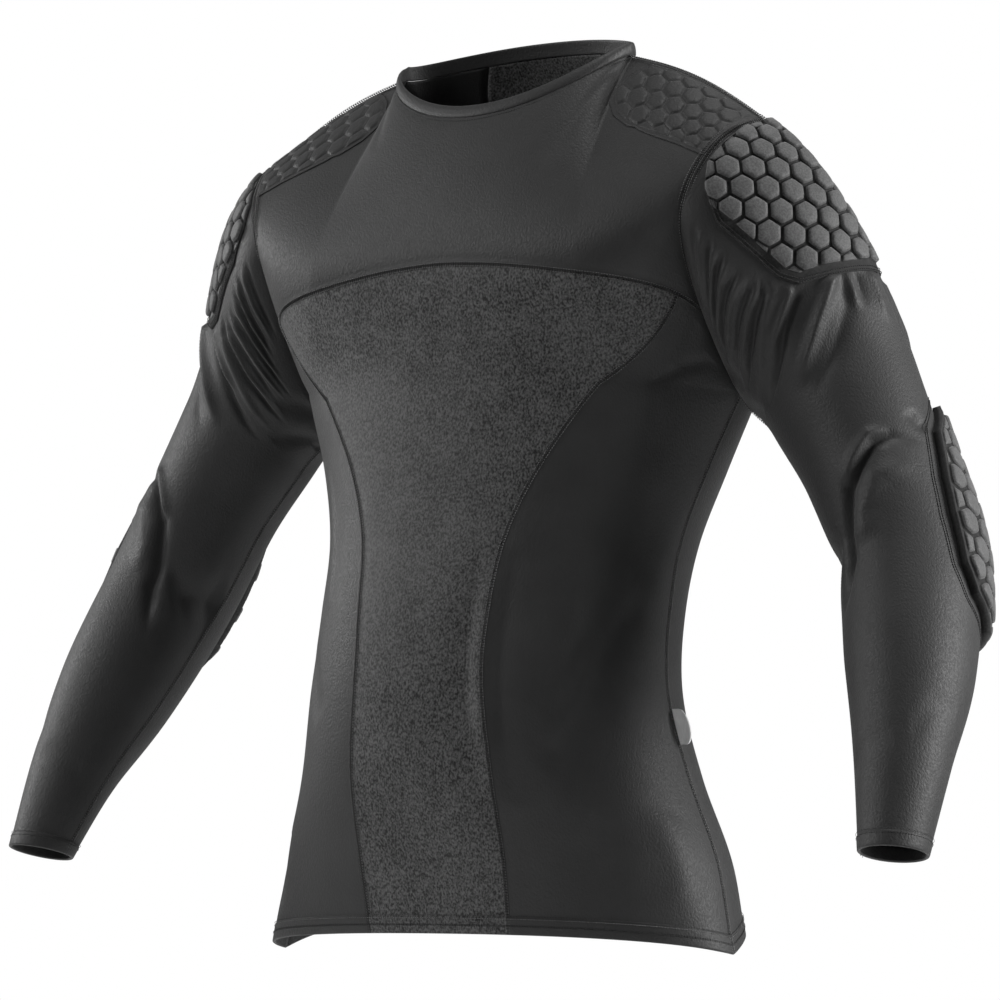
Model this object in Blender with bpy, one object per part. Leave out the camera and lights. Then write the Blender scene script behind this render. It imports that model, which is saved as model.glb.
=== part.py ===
"""A long-sleeved padded compression shirt, filled out as it is when worn, with nobody in it.

Metres, +Z up. The front faces -Y and the wearer's left is +X. The origin is the middle of the neck at the
height of the shoulder points, where a wearer holds the shirt up.
"""

from collections import namedtuple
from functools import lru_cache
from math import cos, pi, sin

import bmesh
import bpy
import numpy as np

for old in list(bpy.data.objects):
    bpy.data.objects.remove(old, do_unlink=True)

# Cloth and sewing
CLOTH = 0.0016
SEAM_GAP = 0.0004
HEM_DEPTH = 0.015
HEM_EXTRA = 0.0008
CUFF_DEPTH = 0.012
CUFF_STITCHES = 0.002

# Heights of the main levels
HEM_Z = -0.696
HEM_BACK_Z = -0.6855
HEM_SIDE_Z = -0.710
ARMPIT_Z = -0.262

# Level sections of the body, from the hem up to the armpits
Section = namedtuple("Section", "z half_width side_y front_y back_y squareness")
BODY = (
    Section(-0.694, 0.2105, -0.0155, -0.113, 0.105, 2.20),
    Section(-0.640, 0.198, -0.012, -0.127, 0.1035, 2.20),
    Section(-0.570, 0.1715, -0.0135, -0.147, 0.0865, 2.25),
    Section(-0.500, 0.157, -0.0225, -0.152, 0.077, 2.25),
    Section(-0.436, 0.152, -0.0105, -0.145, 0.0875, 2.30),
    Section(-0.380, 0.154, 0.004, -0.133, 0.1115, 2.30),
    Section(-0.320, 0.1705, 0.0185, -0.122, 0.1345, 2.30),
    Section(-0.262, 0.1935, 0.0295, -0.116, 0.143, 2.30),
)

# Chest level, half way up the armhole: a shallow arc from the middle out to the armhole
Chest = namedtuple("Chest", "half_width middle_y edge_y middle_z edge_z")
CHEST_FRONT = Chest(0.2025, -0.1225, -0.085, -0.150, -0.135)
CHEST_BACK = Chest(0.2055, 0.132, 0.096, -0.140, -0.135)
CHEST_SPREAD = 0.78
CHEST_ROUND = 2.4

# Directions in which the cloth passes the armpits, the neck and the shoulder seam, for the left front
ARMPIT_RISE = 0.10
ARMPIT_EDGE_WAY = np.array((0.025, -0.1225, 0.030))
NECK_WAY = np.array((0, 0.052, 0.075))
SHOULDER_WAY = np.array((0.040, 0.14, 0.010))

# Neckline and shoulder
NECK_HALF = 0.109
NECK_SIDE_Y = -0.005
NECK_SIDE_Z = 0.015
NECK_FRONT = (-0.078, -0.037)
NECK_BACK = (0.048, 0.034)
NECK_FALL = 1.55
SHOULDER_TIP = np.array((0.236, -0.009, -0.049))
SHOULDER_CROWN = 0.009
ARMHOLE_MIDDLE = np.array((0.21, 0.005, -0.155))

# How far the cloth faces sideways at the armhole, and the way the shoulder seam faces
ARMHOLE_LEAN = 0.45
SHOULDER_RIDGE = np.array((0.15, 0, 1.0))
TIP_LEAN = np.array((0.1, 0, 0))

# Where the cloth turns towards those directions, as (from, to) in s, t or r, and the steps used for slopes
SIDE_TURN_S = (0.86, 1.0)
HOLE_TURN_T = (0.90, 1.06)
HOLE_TURN_R = (0.0, 0.05)
RIDGE_TURN_S = (0.40, 0.52)
RIDGE_TURN_T = (1.80, 2.0)
TIP_S = 0.97
LAST_SLOPE_S = 0.995
SLOPE_STEP = 0.004
RING_STEP = 0.02
DROP_STEP = 0.001

# Seams on the body, as places (s, t): s is -1 to 1 across, t is 0 at the hem, 1 at the armpits, 2 at the top
NECK_S = 0.5
YOKE_MIDDLE_T = 1.44
YOKE_DROP_T = 0.18
YOKE_ROUND = 1.6
PANEL_TOP_S = 0.86
YOKE_FADE = 3
NECK_FAN_T = (1.2, 2.0)
FrontSeam = namedtuple("FrontSeam", "share s")
FRONT_SEAM = (
    FrontSeam(0.00, 0.175),
    FrontSeam(0.12, 0.200),
    FrontSeam(0.22, 0.218),
    FrontSeam(0.42, 0.222),
    FrontSeam(0.58, 0.265),
    FrontSeam(0.69, 0.350),
    FrontSeam(0.82, 0.505),
    FrontSeam(0.92, 0.680),
    FrontSeam(1.00, PANEL_TOP_S),
)
BackSeam = namedtuple("BackSeam", "t s")
BACK_SEAM = (
    BackSeam(0.0, 0.34),
    BackSeam(0.5, 0.32),
    BackSeam(1.0, 0.36),
    BackSeam(1.5, 0.34),
    BackSeam(2.0, 0.17),
)

# Rings of the left sleeve, from the upper arm to the cuff: centre, reach to the side and reach to the front
Ring = namedtuple("Ring", "place x y z side_reach front_reach")
SLEEVE = (
    Ring(0.00, 0.288, 0.029, -0.273, 0.063, 0.063),
    Ring(0.18, 0.320, 0.021, -0.330, 0.056, 0.0615),
    Ring(0.36, 0.3525, 0.009, -0.4005, 0.054, 0.061),
    Ring(0.58, 0.378, -0.034, -0.4885, 0.0495, 0.0535),
    Ring(0.80, 0.3925, -0.0755, -0.563, 0.037, 0.038),
    Ring(1.00, 0.4015, -0.1085, -0.6325, 0.026, 0.028),
)
CUFF_AXIS = np.array((0.05, -0.22, -0.97))
CUFF_TURN_FROM = 0.66

# The sleeve cap: its share of the sleeve, and the way it leaves the armhole at the armpit and at the shoulder
CAP_SHARE = 0.32
LEAVE_INNER = np.array((0.34, -0.10, -0.85))
LEAVE_OUTER = np.array((0.85, 0, -0.583))

# Folds, as ridges (or troughs, with a minus) between two places, with the half width of each
Fold = namedtuple("Fold", "u0 v0 u1 v1 width height")
SLEEVE_FOLDS = (
    Fold(0.215, 0.05, 0.170, 0.26, 0.007, 0.0040),
    Fold(0.245, 0.08, 0.200, 0.30, 0.007, 0.0038),
    Fold(0.275, 0.11, 0.232, 0.33, 0.007, 0.0042),
    Fold(0.300, 0.15, 0.262, 0.36, 0.007, 0.0036),
    Fold(0.325, 0.19, 0.292, 0.40, 0.007, 0.0042),
    Fold(0.350, 0.23, 0.322, 0.44, 0.007, 0.0034),
    Fold(0.385, 0.26, 0.360, 0.40, 0.008, 0.0030),
    Fold(0.440, 0.27, 0.425, 0.42, 0.009, 0.0026),
    Fold(0.560, 0.27, 0.575, 0.42, 0.009, 0.0026),
    Fold(0.650, 0.23, 0.678, 0.42, 0.008, 0.0030),
    Fold(0.710, 0.17, 0.745, 0.36, 0.008, 0.0032),
    Fold(0.770, 0.10, 0.810, 0.30, 0.008, 0.0032),
    Fold(0.130, 0.52, 0.330, 0.56, 0.008, -0.0030),
    Fold(0.090, 0.57, 0.300, 0.60, 0.007, -0.0022),
)
BODY_FOLDS = (
    Fold(0.22, 0.62, 0.20, 0.30, 0.030, -0.0040),
    Fold(0.70, 0.62, 0.45, 0.42, 0.016, -0.0030),
    Fold(0.62, 0.46, 0.40, 0.34, 0.014, -0.0022),
    Fold(-0.62, 0.55, -0.44, 0.40, 0.016, -0.0026),
    Fold(0.55, 0.20, 0.45, 0.04, 0.020, -0.0026),
    Fold(0.80, 0.22, 0.74, 0.05, 0.022, 0.0026),
    Fold(-0.75, 0.20, -0.68, 0.04, 0.022, -0.0024),
)
BACK_FOLDS = (
    Fold(0.60, 0.56, 0.20, 0.46, 0.016, -0.0030),
    Fold(-0.60, 0.56, -0.20, 0.44, 0.016, -0.0030),
    Fold(0.50, 0.44, 0.10, 0.38, 0.014, -0.0024),
    Fold(-0.48, 0.42, -0.12, 0.34, 0.014, -0.0024),
)
BODY_FOLD_SCALE = (0.26, 0.44)
SLEEVE_FOLD_SCALE = (0.38, 0.52)
GATHER_START = (0.004, 0.014)

# Hexagon-celled padding
CELL_TOP = 0.82
# Each pad's underside stands off the cloth by lift; its grooves rise base and its cells rise cell above that
PadSize = namedtuple("PadSize", "lift base cell")
SHOULDER_PAD = PadSize(0.0012, 0.0014, 0.0032)
CAP_PAD = PadSize(0.0021, 0.0028, 0.0052)
ELBOW_PAD = PadSize(0.0027, 0.0075, 0.0105)
# The cells' distance apart, the turn of their rows, and the middle of one of them
CellPlan = namedtuple("CellPlan", "pitch turn start")
SHOULDER_CELLS = CellPlan(0.0207, 0.00, (0.070, 0.045))
CAP_CELLS = CellPlan(0.0207, 0.31, (-0.098, -0.013))
ELBOW_CELLS = CellPlan(0.0235, 0.00, (0.000, 0.000))
CELL_BEND = 0.0006
CELL_SLIVER = 2e-6
SAME_CORNER = 1 / 100
SHORT_EDGE = 1 / 9
CELL_FULL_SHARE = 0.625
SHOULDER_SEAM_T = 1.93
SHOULDER_COLUMN = (0.75, 1.3)
SEAM_READINGS = 12
COLUMN_READINGS = 15
SHOULDER_PAD_OUTLINE = (
    (0.024, 0.005),
    (0.134, 0.005),
    (0.134, 0.092),
    (0.066, 0.083),
    (0.030, 0.075),
    (0.010, 0.065),
    (0.000, 0.052),
    (-0.001, 0.040),
    (0.010, 0.022),
)
SHOULDER_BACK_OUTLINE = (
    (0.020, 0.005),
    (0.134, 0.005),
    (0.134, 0.078),
    (0.070, 0.070),
    (0.030, 0.058),
    (0.012, 0.036),
    (0.012, 0.018),
)
# The sleeve's pads are flat sheets laid on the cloth from a middle place (c, r); x runs to the back, y down
CAP_MIDDLE = (0.5, 0.105)
CAP_PAD_OUTLINE = (
    (-0.108, -0.018),
    (-0.096, -0.038),
    (-0.072, -0.053),
    (-0.044, -0.063),
    (-0.012, -0.068),
    (0.020, -0.067),
    (0.050, -0.059),
    (0.078, -0.048),
    (0.092, -0.032),
    (0.094, 0.000),
    (0.084, 0.042),
    (0.060, 0.068),
    (0.030, 0.077),
    (-0.056, 0.079),
    (-0.072, 0.069),
    (-0.108, 0.014),
)
ELBOW_MIDDLE = (0.645, 0.535)
ELBOW_HALF_OUTLINE = (
    (0.028, -0.100),
    (0.058, -0.065),
    (0.068, -0.020),
    (0.071, 0.015),
    (0.069, 0.058),
    (0.058, 0.082),
    (0.024, 0.102),
)
ELBOW_PAD_OUTLINE = ELBOW_HALF_OUTLINE + tuple((-x, y) for x, y in reversed(ELBOW_HALF_OUTLINE))
WALK_STEPS = 12
SLEEVE_REACH = (0.36, 0.70)

# Neckband, folded double
BAND_HEIGHT = 0.012
BandLevel = namedtuple("BandLevel", "height outside inside")
BAND_PROFILE = (
    BandLevel(0.00, 0.0000, -0.0024),
    BandLevel(0.30, 0.0011, -0.0019),
    BandLevel(0.65, 0.0014, -0.0016),
    BandLevel(0.92, 0.0007, -0.0020),
    BandLevel(1.00, -0.0004, -0.0014),
)
BAND_BELOW_T = 1.96
BAND_SIDE_DROP = 0.5
BAND_UPRIGHT = (0.35, 0.30)
NECK_FRONT_SPANS = 8
NECK_SIDE_SPANS = 3

# Care label in the left side seam
LABEL_REACH = 0.0115
LABEL_LEAST = 0.005
LABEL_HEIGHT = 0.028
LABEL_THICK = 0.0012
LABEL_T = 0.40
LABEL_CLEAR = 0.0012
LABEL_ROWS = 8

# Grid counts
BODY_ROWS = 9
ARMHOLE_PANEL_ROWS = 3
YOKE_ROWS = 7
YOKE_HALF = (0.12, 0.24, 0.37, 0.50, 0.62, 0.74)
SIDE_COLUMNS = 4
HEM_ROWS = 2
HEM_END = 1.1
BACK_COLUMNS = 4
SHOULDER_SPANS = 5
BACK_ARMHOLE_ROWS = 8
CAP_ROWS = 8
ARM_ROWS = 8

shirt = bpy.data.collections.new("padded_compression_shirt")
bpy.context.scene.collection.children.link(shirt)


def finish(name, colour, roughness):
    """A plain cloth or foam finish."""
    material = bpy.data.materials.new(name)
    material.use_nodes = True
    shader = material.node_tree.nodes["Principled BSDF"]
    shader.inputs["Base Color"].default_value = (*colour, 1)
    shader.inputs["Roughness"].default_value = roughness
    shader.inputs["Metallic"].default_value = 0
    return material


def hermite(p, p_way, q, q_way, u):
    """The cubic from p to q that leaves along p_way and arrives along q_way."""
    return (
        p * (1 + 2 * u) * (1 - u) ** 2
        + p_way * u * (1 - u) ** 2
        + q * u * u * (3 - 2 * u)
        - q_way * u * u * (1 - u)
    )


class Curve:
    """A smooth curve through the rows of a table, read at a value of its first column."""

    def __init__(self, rows):
        self.rows = np.array(rows, float)
        self.slopes = np.gradient(self.rows, self.rows[:, 0], axis=0)

    def __call__(self, x):
        first = self.rows[:, 0]
        i = int(np.clip(np.searchsorted(first, x) - 1, 0, len(first) - 2))
        step = first[i + 1] - first[i]
        u = (x - first[i]) / step
        return hermite(
            self.rows[i], self.slopes[i] * step, self.rows[i + 1], self.slopes[i + 1] * step, u
        )


def unit(v):
    return v / np.linalg.norm(v)


def mirrored(p, side):
    return p * np.array((side, 1, 1))


body_curve = Curve(BODY)
front_seam_curve = Curve(FRONT_SEAM)
back_seam_curve = Curve(BACK_SEAM)
sleeve_curve = Curve(SLEEVE)


def level(s, z, back):
    """A point of the level section at height z, s from 0 at the middle to 1 at the side."""
    row = Section(*body_curve(z))
    across = s * pi / 2
    x = row.half_width * sin(across) ** (2 / row.squareness)
    reach = (row.back_y if back else row.front_y) - row.side_y
    y = row.side_y + reach * max(cos(across), 0) ** (2 / row.squareness)
    return np.array((x, y, z))


def top_edge(s, back):
    """The neckline for s up to NECK_S, and then the shoulder seam out to the tip."""
    if s <= NECK_S:
        turn = s / NECK_S * pi / 2
        end_y, end_z = NECK_BACK if back else NECK_FRONT
        y = NECK_SIDE_Y + (end_y - NECK_SIDE_Y) * cos(turn)
        z = NECK_SIDE_Z + (end_z - NECK_SIDE_Z) * max(cos(turn), 0) ** NECK_FALL
        return np.array((NECK_HALF * sin(turn), y, z))
    u = (s - NECK_S) / (1 - NECK_S)
    neck_point = np.array((NECK_HALF, NECK_SIDE_Y, NECK_SIDE_Z))
    crown = np.array((0, 0, SHOULDER_CROWN * sin(pi * u)))
    return neck_point + (SHOULDER_TIP - neck_point) * u + crown


@lru_cache(maxsize=None)
def body_point(s, t, back):
    """A point of the body's outer form: s from -1 to 1 across, t from 0 at the hem to 2 at the top."""
    side = 1 if s >= 0 else -1
    a = min(abs(s), 1)
    if t <= 1:
        bottom = HEM_BACK_Z if back else HEM_Z
        bottom += (HEM_SIDE_Z - bottom) * a ** (4 if back else 2)
        z = bottom + (ARMPIT_Z - bottom) * t
        return mirrored(level(a, z, back), side)
    chest = CHEST_BACK if back else CHEST_FRONT
    flip = np.array((1, -1, 1)) if back else np.array((1, 1, 1))
    low = level(a, ARMPIT_Z, back)
    rise = (low - level(a, ARMPIT_Z - DROP_STEP, back)) / DROP_STEP * ARMPIT_RISE
    spread = sin(a * pi / 2 * CHEST_SPREAD) / sin(pi / 2 * CHEST_SPREAD)
    middle = np.array((
        chest.half_width * spread,
        chest.middle_y + (chest.edge_y - chest.middle_y) * a**CHEST_ROUND,
        chest.middle_z + (chest.edge_z - chest.middle_z) * a * a,
    ))
    top = top_edge(a, back)
    low_way = rise * (1 - a**6) + ARMPIT_EDGE_WAY * flip * a**6
    top_way = (NECK_WAY * (1 - a**3) + SHOULDER_WAY * a**3) * flip
    middle_way = (top - low) / 2
    if t <= 1.5:
        point = hermite(low, low_way, middle, middle_way, (t - 1) * 2)
    else:
        point = hermite(middle, middle_way, top, top_way, (t - 1.5) * 2)
    return mirrored(point, side)


def armhole_way(p, side):
    """The direction out through the cloth at the armhole, shared by body and sleeve."""
    spoke = unit((mirrored(p, side) - ARMHOLE_MIDDLE) * (0, 1, 1))
    return mirrored(unit(spoke + (ARMHOLE_LEAN, 0, 0)), side)


def step_in(value, low, high):
    u = min(max((value - low) / (high - low), 0), 1)
    return u * u * (3 - 2 * u)


def body_way(s, t, back):
    """The direction out through the cloth. Panels that meet at a seam share it there."""
    side = 1 if s >= 0 else -1
    a = min(abs(s), LAST_SLOPE_S)
    high_t = min(t + SLOPE_STEP, 2)
    across = body_point(a + SLOPE_STEP, t, back) - body_point(max(a - SLOPE_STEP, 0), t, back)
    along = body_point(a, high_t, back) - body_point(a, high_t - 2 * SLOPE_STEP, back)
    way = unit(np.cross(across, along)) * (-1 if back else 1)
    p = body_point(abs(s), t, back)
    hole = armhole_way(p, 1)
    to_hole = step_in(t, *HOLE_TURN_T)
    edge = unit(np.array((1.0, 0, 0)) * (1 - to_hole) + hole * to_hole)
    to_side = step_in(abs(s), *SIDE_TURN_S)
    way = unit(way * (1 - to_side) + edge * to_side)
    ridge = unit(SHOULDER_RIDGE) if abs(s) < TIP_S else unit(hole + TIP_LEAN)
    to_top = step_in(t, *RIDGE_TURN_T) * step_in(abs(s), *RIDGE_TURN_S)
    way = unit(way * (1 - to_top) + ridge * to_top)
    return mirrored(way, side)


def yoke_t(s):
    return YOKE_MIDDLE_T - YOKE_DROP_T * abs(s) ** YOKE_ROUND


def front_seam_s(share):
    """Where the long front seam runs, share being 0 at the hem and 1 at the arched seam."""
    return front_seam_curve(share)[1]


def back_seam_s(t):
    return back_seam_curve(t)[1]


def fold_height(folds, u, v, scale):
    """How far the cloth stands out at a place, from the ridges and troughs that pass it."""
    total = 0
    here = np.array((u, v)) * scale
    for fold in folds:
        start = np.array((fold.u0, fold.v0)) * scale
        end = np.array((fold.u1, fold.v1)) * scale
        run = end - start
        along = np.dot(here - start, run) / np.dot(run, run)
        if not 0 < along < 1:
            continue
        off = np.linalg.norm(here - start - run * along)
        total += fold.height * np.exp(-((off / fold.width) ** 2)) * sin(pi * along) ** 0.6
    return total


@lru_cache(maxsize=None)
def ring_frame(place):
    """Centre, side direction, back direction, side reach and front reach of a ring of the left sleeve."""
    row = Ring(*sleeve_curve(place))
    ahead = sleeve_curve(min(place + RING_STEP, 1))[1:4]
    behind = sleeve_curve(max(place - RING_STEP, 0))[1:4]
    axis = unit(ahead - behind)
    turn = step_in(place, CUFF_TURN_FROM, 1)
    axis = unit(axis * (1 - turn) + unit(CUFF_AXIS) * turn)
    outward = unit(np.cross((0, 1, 0), -axis))
    backward = np.cross(-axis, outward)
    return np.array(row[1:4]), outward, backward, row.side_reach, row.front_reach


def ring_point(c, place):
    """A point of a ring, c from 0 at the inside of the arm through the front, the outside and the back."""
    centre, outward, backward, side_reach, front_reach = ring_frame(place)
    turn = 2 * pi * c
    return centre - outward * side_reach * cos(turn) - backward * front_reach * sin(turn)


def armhole_levels():
    """The heights t of the rows of the front and of the back that end at the armhole."""
    side_top = yoke_t(1)
    front = [1 + (side_top - 1) * i / ARMHOLE_PANEL_ROWS for i in range(ARMHOLE_PANEL_ROWS)]
    front += [side_top + (2 - side_top) * i / YOKE_ROWS for i in range(YOKE_ROWS + 1)]
    back = [1 + i / BACK_ARMHOLE_ROWS for i in range(BACK_ARMHOLE_ROWS + 1)]
    return front, back


def armhole_places():
    """Places c round the armhole where the body's rows end: up the front from the armpit, then down the back."""
    front, back = armhole_levels()
    return [(t - 1) / 2 for t in front] + [(3 - t) / 2 for t in reversed(back[:-1])]


ARMHOLE_PLACES = tuple(armhole_places())


@lru_cache(maxsize=None)
def armhole_point(c):
    """A point of the armhole, on the straight stretch between two rows of the body."""
    i = int(np.clip(np.searchsorted(ARMHOLE_PLACES, c, side="right") - 1, 0, len(ARMHOLE_PLACES) - 2))
    low, high = ARMHOLE_PLACES[i], ARMHOLE_PLACES[i + 1]
    share = (c - low) / (high - low)
    ends = [body_point(1, 1 + 2 * q if q <= 0.5 else 3 - 2 * q, q > 0.5) for q in (low, high)]
    return ends[0] + (ends[1] - ends[0]) * share


@lru_cache(maxsize=None)
def sleeve_point(c, r):
    """A point of the left sleeve's outer form, r from 0 at the armhole to 1 at the cuff."""
    c = c % 1
    if r >= CAP_SHARE:
        return ring_point(c, (r - CAP_SHARE) / (1 - CAP_SHARE))
    start, end = armhole_point(c), ring_point(c, 0)
    outer = (1 - cos(2 * pi * c)) / 2
    leave = unit(LEAVE_INNER * (1, sin(2 * pi * c), 1) * (1 - outer) + LEAVE_OUTER * outer)
    arrive = unit(ring_point(c, RING_STEP) - end)
    length = np.linalg.norm(end - start)
    return hermite(start, leave * length, end, arrive * length, r / CAP_SHARE)


def sleeve_way(c, r):
    low, high = max(r - SLOPE_STEP, 0), min(r + SLOPE_STEP, 1)
    around = sleeve_point(c + SLOPE_STEP, r) - sleeve_point(c - SLOPE_STEP, r)
    along = sleeve_point(c, high) - sleeve_point(c, low)
    way = unit(np.cross(along, around))
    hole = armhole_way(armhole_point(c % 1), 1)
    near = 1 - step_in(r, *HOLE_TURN_R)
    return unit(way * (1 - near) + hole * near)


def cloth_object(name, points, faces, material):
    """A named mesh object of the shirt, with its faces turned outward."""
    mesh = bpy.data.meshes.new(name)
    mesh.from_pydata([tuple(p) for p in points], [], faces)
    work = bmesh.new()
    work.from_mesh(mesh)
    bmesh.ops.recalc_face_normals(work, faces=work.faces)
    work.to_mesh(mesh)
    work.free()
    mesh.shade_smooth()
    mesh.materials.append(material)
    item = bpy.data.objects.new(name, mesh)
    shirt.objects.link(item)
    return item


def wall(name, outer, inner, closed, material):
    """A closed wall between an outer grid and an inner grid that has each or every second column."""
    rows = len(outer)
    outer_columns, inner_columns = len(outer[0]), len(inner[0])
    every = round((outer_columns - (not closed)) / (inner_columns - (not closed)))
    points = [p for row in outer for p in row] + [p for row in inner for p in row]
    first_inner = rows * outer_columns

    def out(r, c):
        return r * outer_columns + c % outer_columns

    def inn(r, c):
        return first_inner + r * inner_columns + c % inner_columns

    faces = []
    outer_spans = outer_columns if closed else outer_columns - 1
    inner_spans = inner_columns if closed else inner_columns - 1
    for r in range(rows - 1):
        faces += [(out(r, c), out(r, c + 1), out(r + 1, c + 1), out(r + 1, c)) for c in range(outer_spans)]
        faces += [(inn(r, c), inn(r + 1, c), inn(r + 1, c + 1), inn(r, c + 1)) for c in range(inner_spans)]
        if not closed:
            for o, i in ((0, 0), (outer_columns - 1, inner_columns - 1)):
                faces.append((out(r, o), out(r + 1, o), inn(r + 1, i), inn(r, i)))
    for r in (0, rows - 1):
        for i in range(inner_spans):
            o = i * every
            if every == 2:
                faces.append((out(r, o), out(r, o + 1), inn(r, i)))
            faces.append((out(r, o + every - 1), out(r, o + every), inn(r, i + 1), inn(r, i)))
    return cloth_object(name, points, faces, material)


def pulled_in(points):
    """The grid with its border drawn in by half the gap of a seam."""
    moved = points.copy()
    rows, columns = points.shape[:2]
    half = SEAM_GAP / 2
    for c in range(columns):
        moved[0, c] += unit(points[1, c] - points[0, c]) * half
        moved[-1, c] += unit(points[-2, c] - points[-1, c]) * half
    for r in range(rows):
        moved[r, 0] += unit(points[r, 1] - points[r, 0]) * half
        moved[r, -1] += unit(points[r, -2] - points[r, -1]) * half
    return moved


def body_panel(name, places, back, material, hem_rows):
    """A panel of the body from a grid of places (s, t)."""
    points = np.array([[body_point(s, t, back) for s, t in row] for row in places])
    ways = np.array([[body_way(s, t, back) for s, t in row] for row in places])
    points = pulled_in(points)
    outer = points.copy()
    folds = BACK_FOLDS if back else BODY_FOLDS
    for r in range(1, len(places) - 1):
        for c in range(1, len(places[0]) - 1):
            if r < hem_rows:
                continue
            s, t = places[r][c]
            outer[r, c] += ways[r, c] * fold_height(folds, s, t, BODY_FOLD_SCALE)
    outer[:hem_rows] += ways[:hem_rows] * HEM_EXTRA
    return wall(name, outer, points - ways * CLOTH, False, material)


def hem_levels():
    """Heights t of the rows from the hem to the armpits: the hem's edge, its stitching, and even steps."""
    hem = HEM_DEPTH / (ARMPIT_Z - HEM_Z)
    above = hem * HEM_END
    return [0, hem, above] + [above + (1 - above) * (i + 1) / BODY_ROWS for i in range(BODY_ROWS)]


def build_body():
    knit = finish("smooth_knit", (0.030, 0.030, 0.032), 0.55)
    grain = finish("heather_knit", (0.045, 0.045, 0.047), 0.70)
    side_top = yoke_t(1)
    seam_top = yoke_t(PANEL_TOP_S)
    low = hem_levels()
    up_side = low + [1 + (side_top - 1) * (i + 1) / ARMHOLE_PANEL_ROWS for i in range(ARMHOLE_PANEL_ROWS)]

    half = list(YOKE_HALF) + [PANEL_TOP_S]
    outside = [PANEL_TOP_S + (1 - PANEL_TOP_S) * (c + 1) / SIDE_COLUMNS for c in range(SIDE_COLUMNS)]
    across = [-s for s in reversed(half)] + [0] + half
    centre = []
    for t_side in up_side:
        share = t_side / side_top
        edge = front_seam_s(share)
        row = []
        for top_s in across:
            lift = (yoke_t(top_s) - seam_top) * share**YOKE_FADE
            row.append((top_s / PANEL_TOP_S * edge, share * seam_top + lift))
        centre.append(row)
    body_panel("front_centre", centre, False, grain, HEM_ROWS)

    for side, word in ((1, "left"), (-1, "right")):
        panel = []
        for t_side in up_side:
            share = t_side / side_top
            edge = front_seam_s(share)
            row = []
            for c in range(SIDE_COLUMNS + 1):
                u = c / SIDE_COLUMNS
                s = edge + (1 - edge) * u
                t = share * (seam_top + (side_top - seam_top) * u)
                if share == 1:
                    t = yoke_t(s)
                row.append((side * s, t))
            panel.append(row)
        body_panel(f"side_{word}", panel, False, knit, HEM_ROWS)

    whole = [-s for s in reversed(outside)] + across + outside
    yoke = []
    for i in range(YOKE_ROWS + 1):
        u = i / YOKE_ROWS
        yoke.append([(s, yoke_t(s) + (2 - yoke_t(s)) * u) for s in whole])
    body_panel("front_yoke", yoke, False, knit, 0)

    levels = low + [1 + (i + 1) / BACK_ARMHOLE_ROWS for i in range(BACK_ARMHOLE_ROWS)]
    middle = [
        [(back_seam_s(t) * (-1 + 2 * c / BACK_COLUMNS), t) for c in range(BACK_COLUMNS + 1)] for t in levels
    ]
    body_panel("back_centre", middle, True, grain, HEM_ROWS)
    for side, word in ((1, "left"), (-1, "right")):
        panel = []
        for t in levels:
            edge = back_seam_s(t)
            neck = edge + (1 - edge) * NECK_SIDE_SPANS / (NECK_SIDE_SPANS + SHOULDER_SPANS)
            neck += (NECK_S - neck) * step_in(t, *NECK_FAN_T)
            row = [(side * (edge + (neck - edge) * c / NECK_SIDE_SPANS), t) for c in range(NECK_SIDE_SPANS)]
            row += [(side * (neck + (1 - neck) * c / SHOULDER_SPANS), t) for c in range(SHOULDER_SPANS + 1)]
            panel.append(row)
        body_panel(f"back_side_{word}", panel, True, knit, HEM_ROWS)


def build_neckband():
    """The band stands on the neckline, leans in a little and is folded over at its top."""
    band = finish("band_knit", (0.028, 0.028, 0.030), 0.50)
    outer, inner = [], []
    front = [-NECK_S + 2 * NECK_S * i / NECK_FRONT_SPANS for i in range(NECK_FRONT_SPANS)]
    edge = back_seam_s(2)
    half = [edge * 2 * i / BACK_COLUMNS for i in range(BACK_COLUMNS // 2)]
    half += [edge + (NECK_S - edge) * i / NECK_SIDE_SPANS for i in range(NECK_SIDE_SPANS)]
    back = [NECK_S] + list(reversed(half)) + [-s for s in half[1:]]
    places = [(s, False) for s in front] + [(s, True) for s in back]
    bases = [body_point(s, 2, behind) for s, behind in places]
    for column in range(len(places) + NECK_FRONT_SPANS):
        if column < 2 * NECK_FRONT_SPANS:
            i, between = divmod(column, 2)
        else:
            i, between = column - NECK_FRONT_SPANS, 0
        s, behind = places[i]
        base = bases[i]
        if between:
            s += NECK_S / NECK_FRONT_SPANS
            base = (base + bases[i + 1]) / 2
        rise = unit(body_point(s, 2, behind) - body_point(s, BAND_BELOW_T, behind))
        mix = abs(s) / NECK_S
        upright = np.array((0, 0, BAND_UPRIGHT[0] + BAND_UPRIGHT[1] * mix))
        rise = unit(rise * (1 - BAND_SIDE_DROP * mix) + upright)
        out = unit(base * (1, 1, 0))
        out = unit(out - rise * np.dot(out, rise))
        stations = [base + rise * (SEAM_GAP + p.height * BAND_HEIGHT) for p in BAND_PROFILE]
        outer.append([at + out * p.outside for at, p in zip(stations, BAND_PROFILE)])
        inner.append([at + out * p.inside for at, p in zip(stations, BAND_PROFILE)])
    rows = np.array(outer).transpose(1, 0, 2)
    inside = np.array(inner).transpose(1, 0, 2)
    wall("neckband", rows, inside, True, band)


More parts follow.
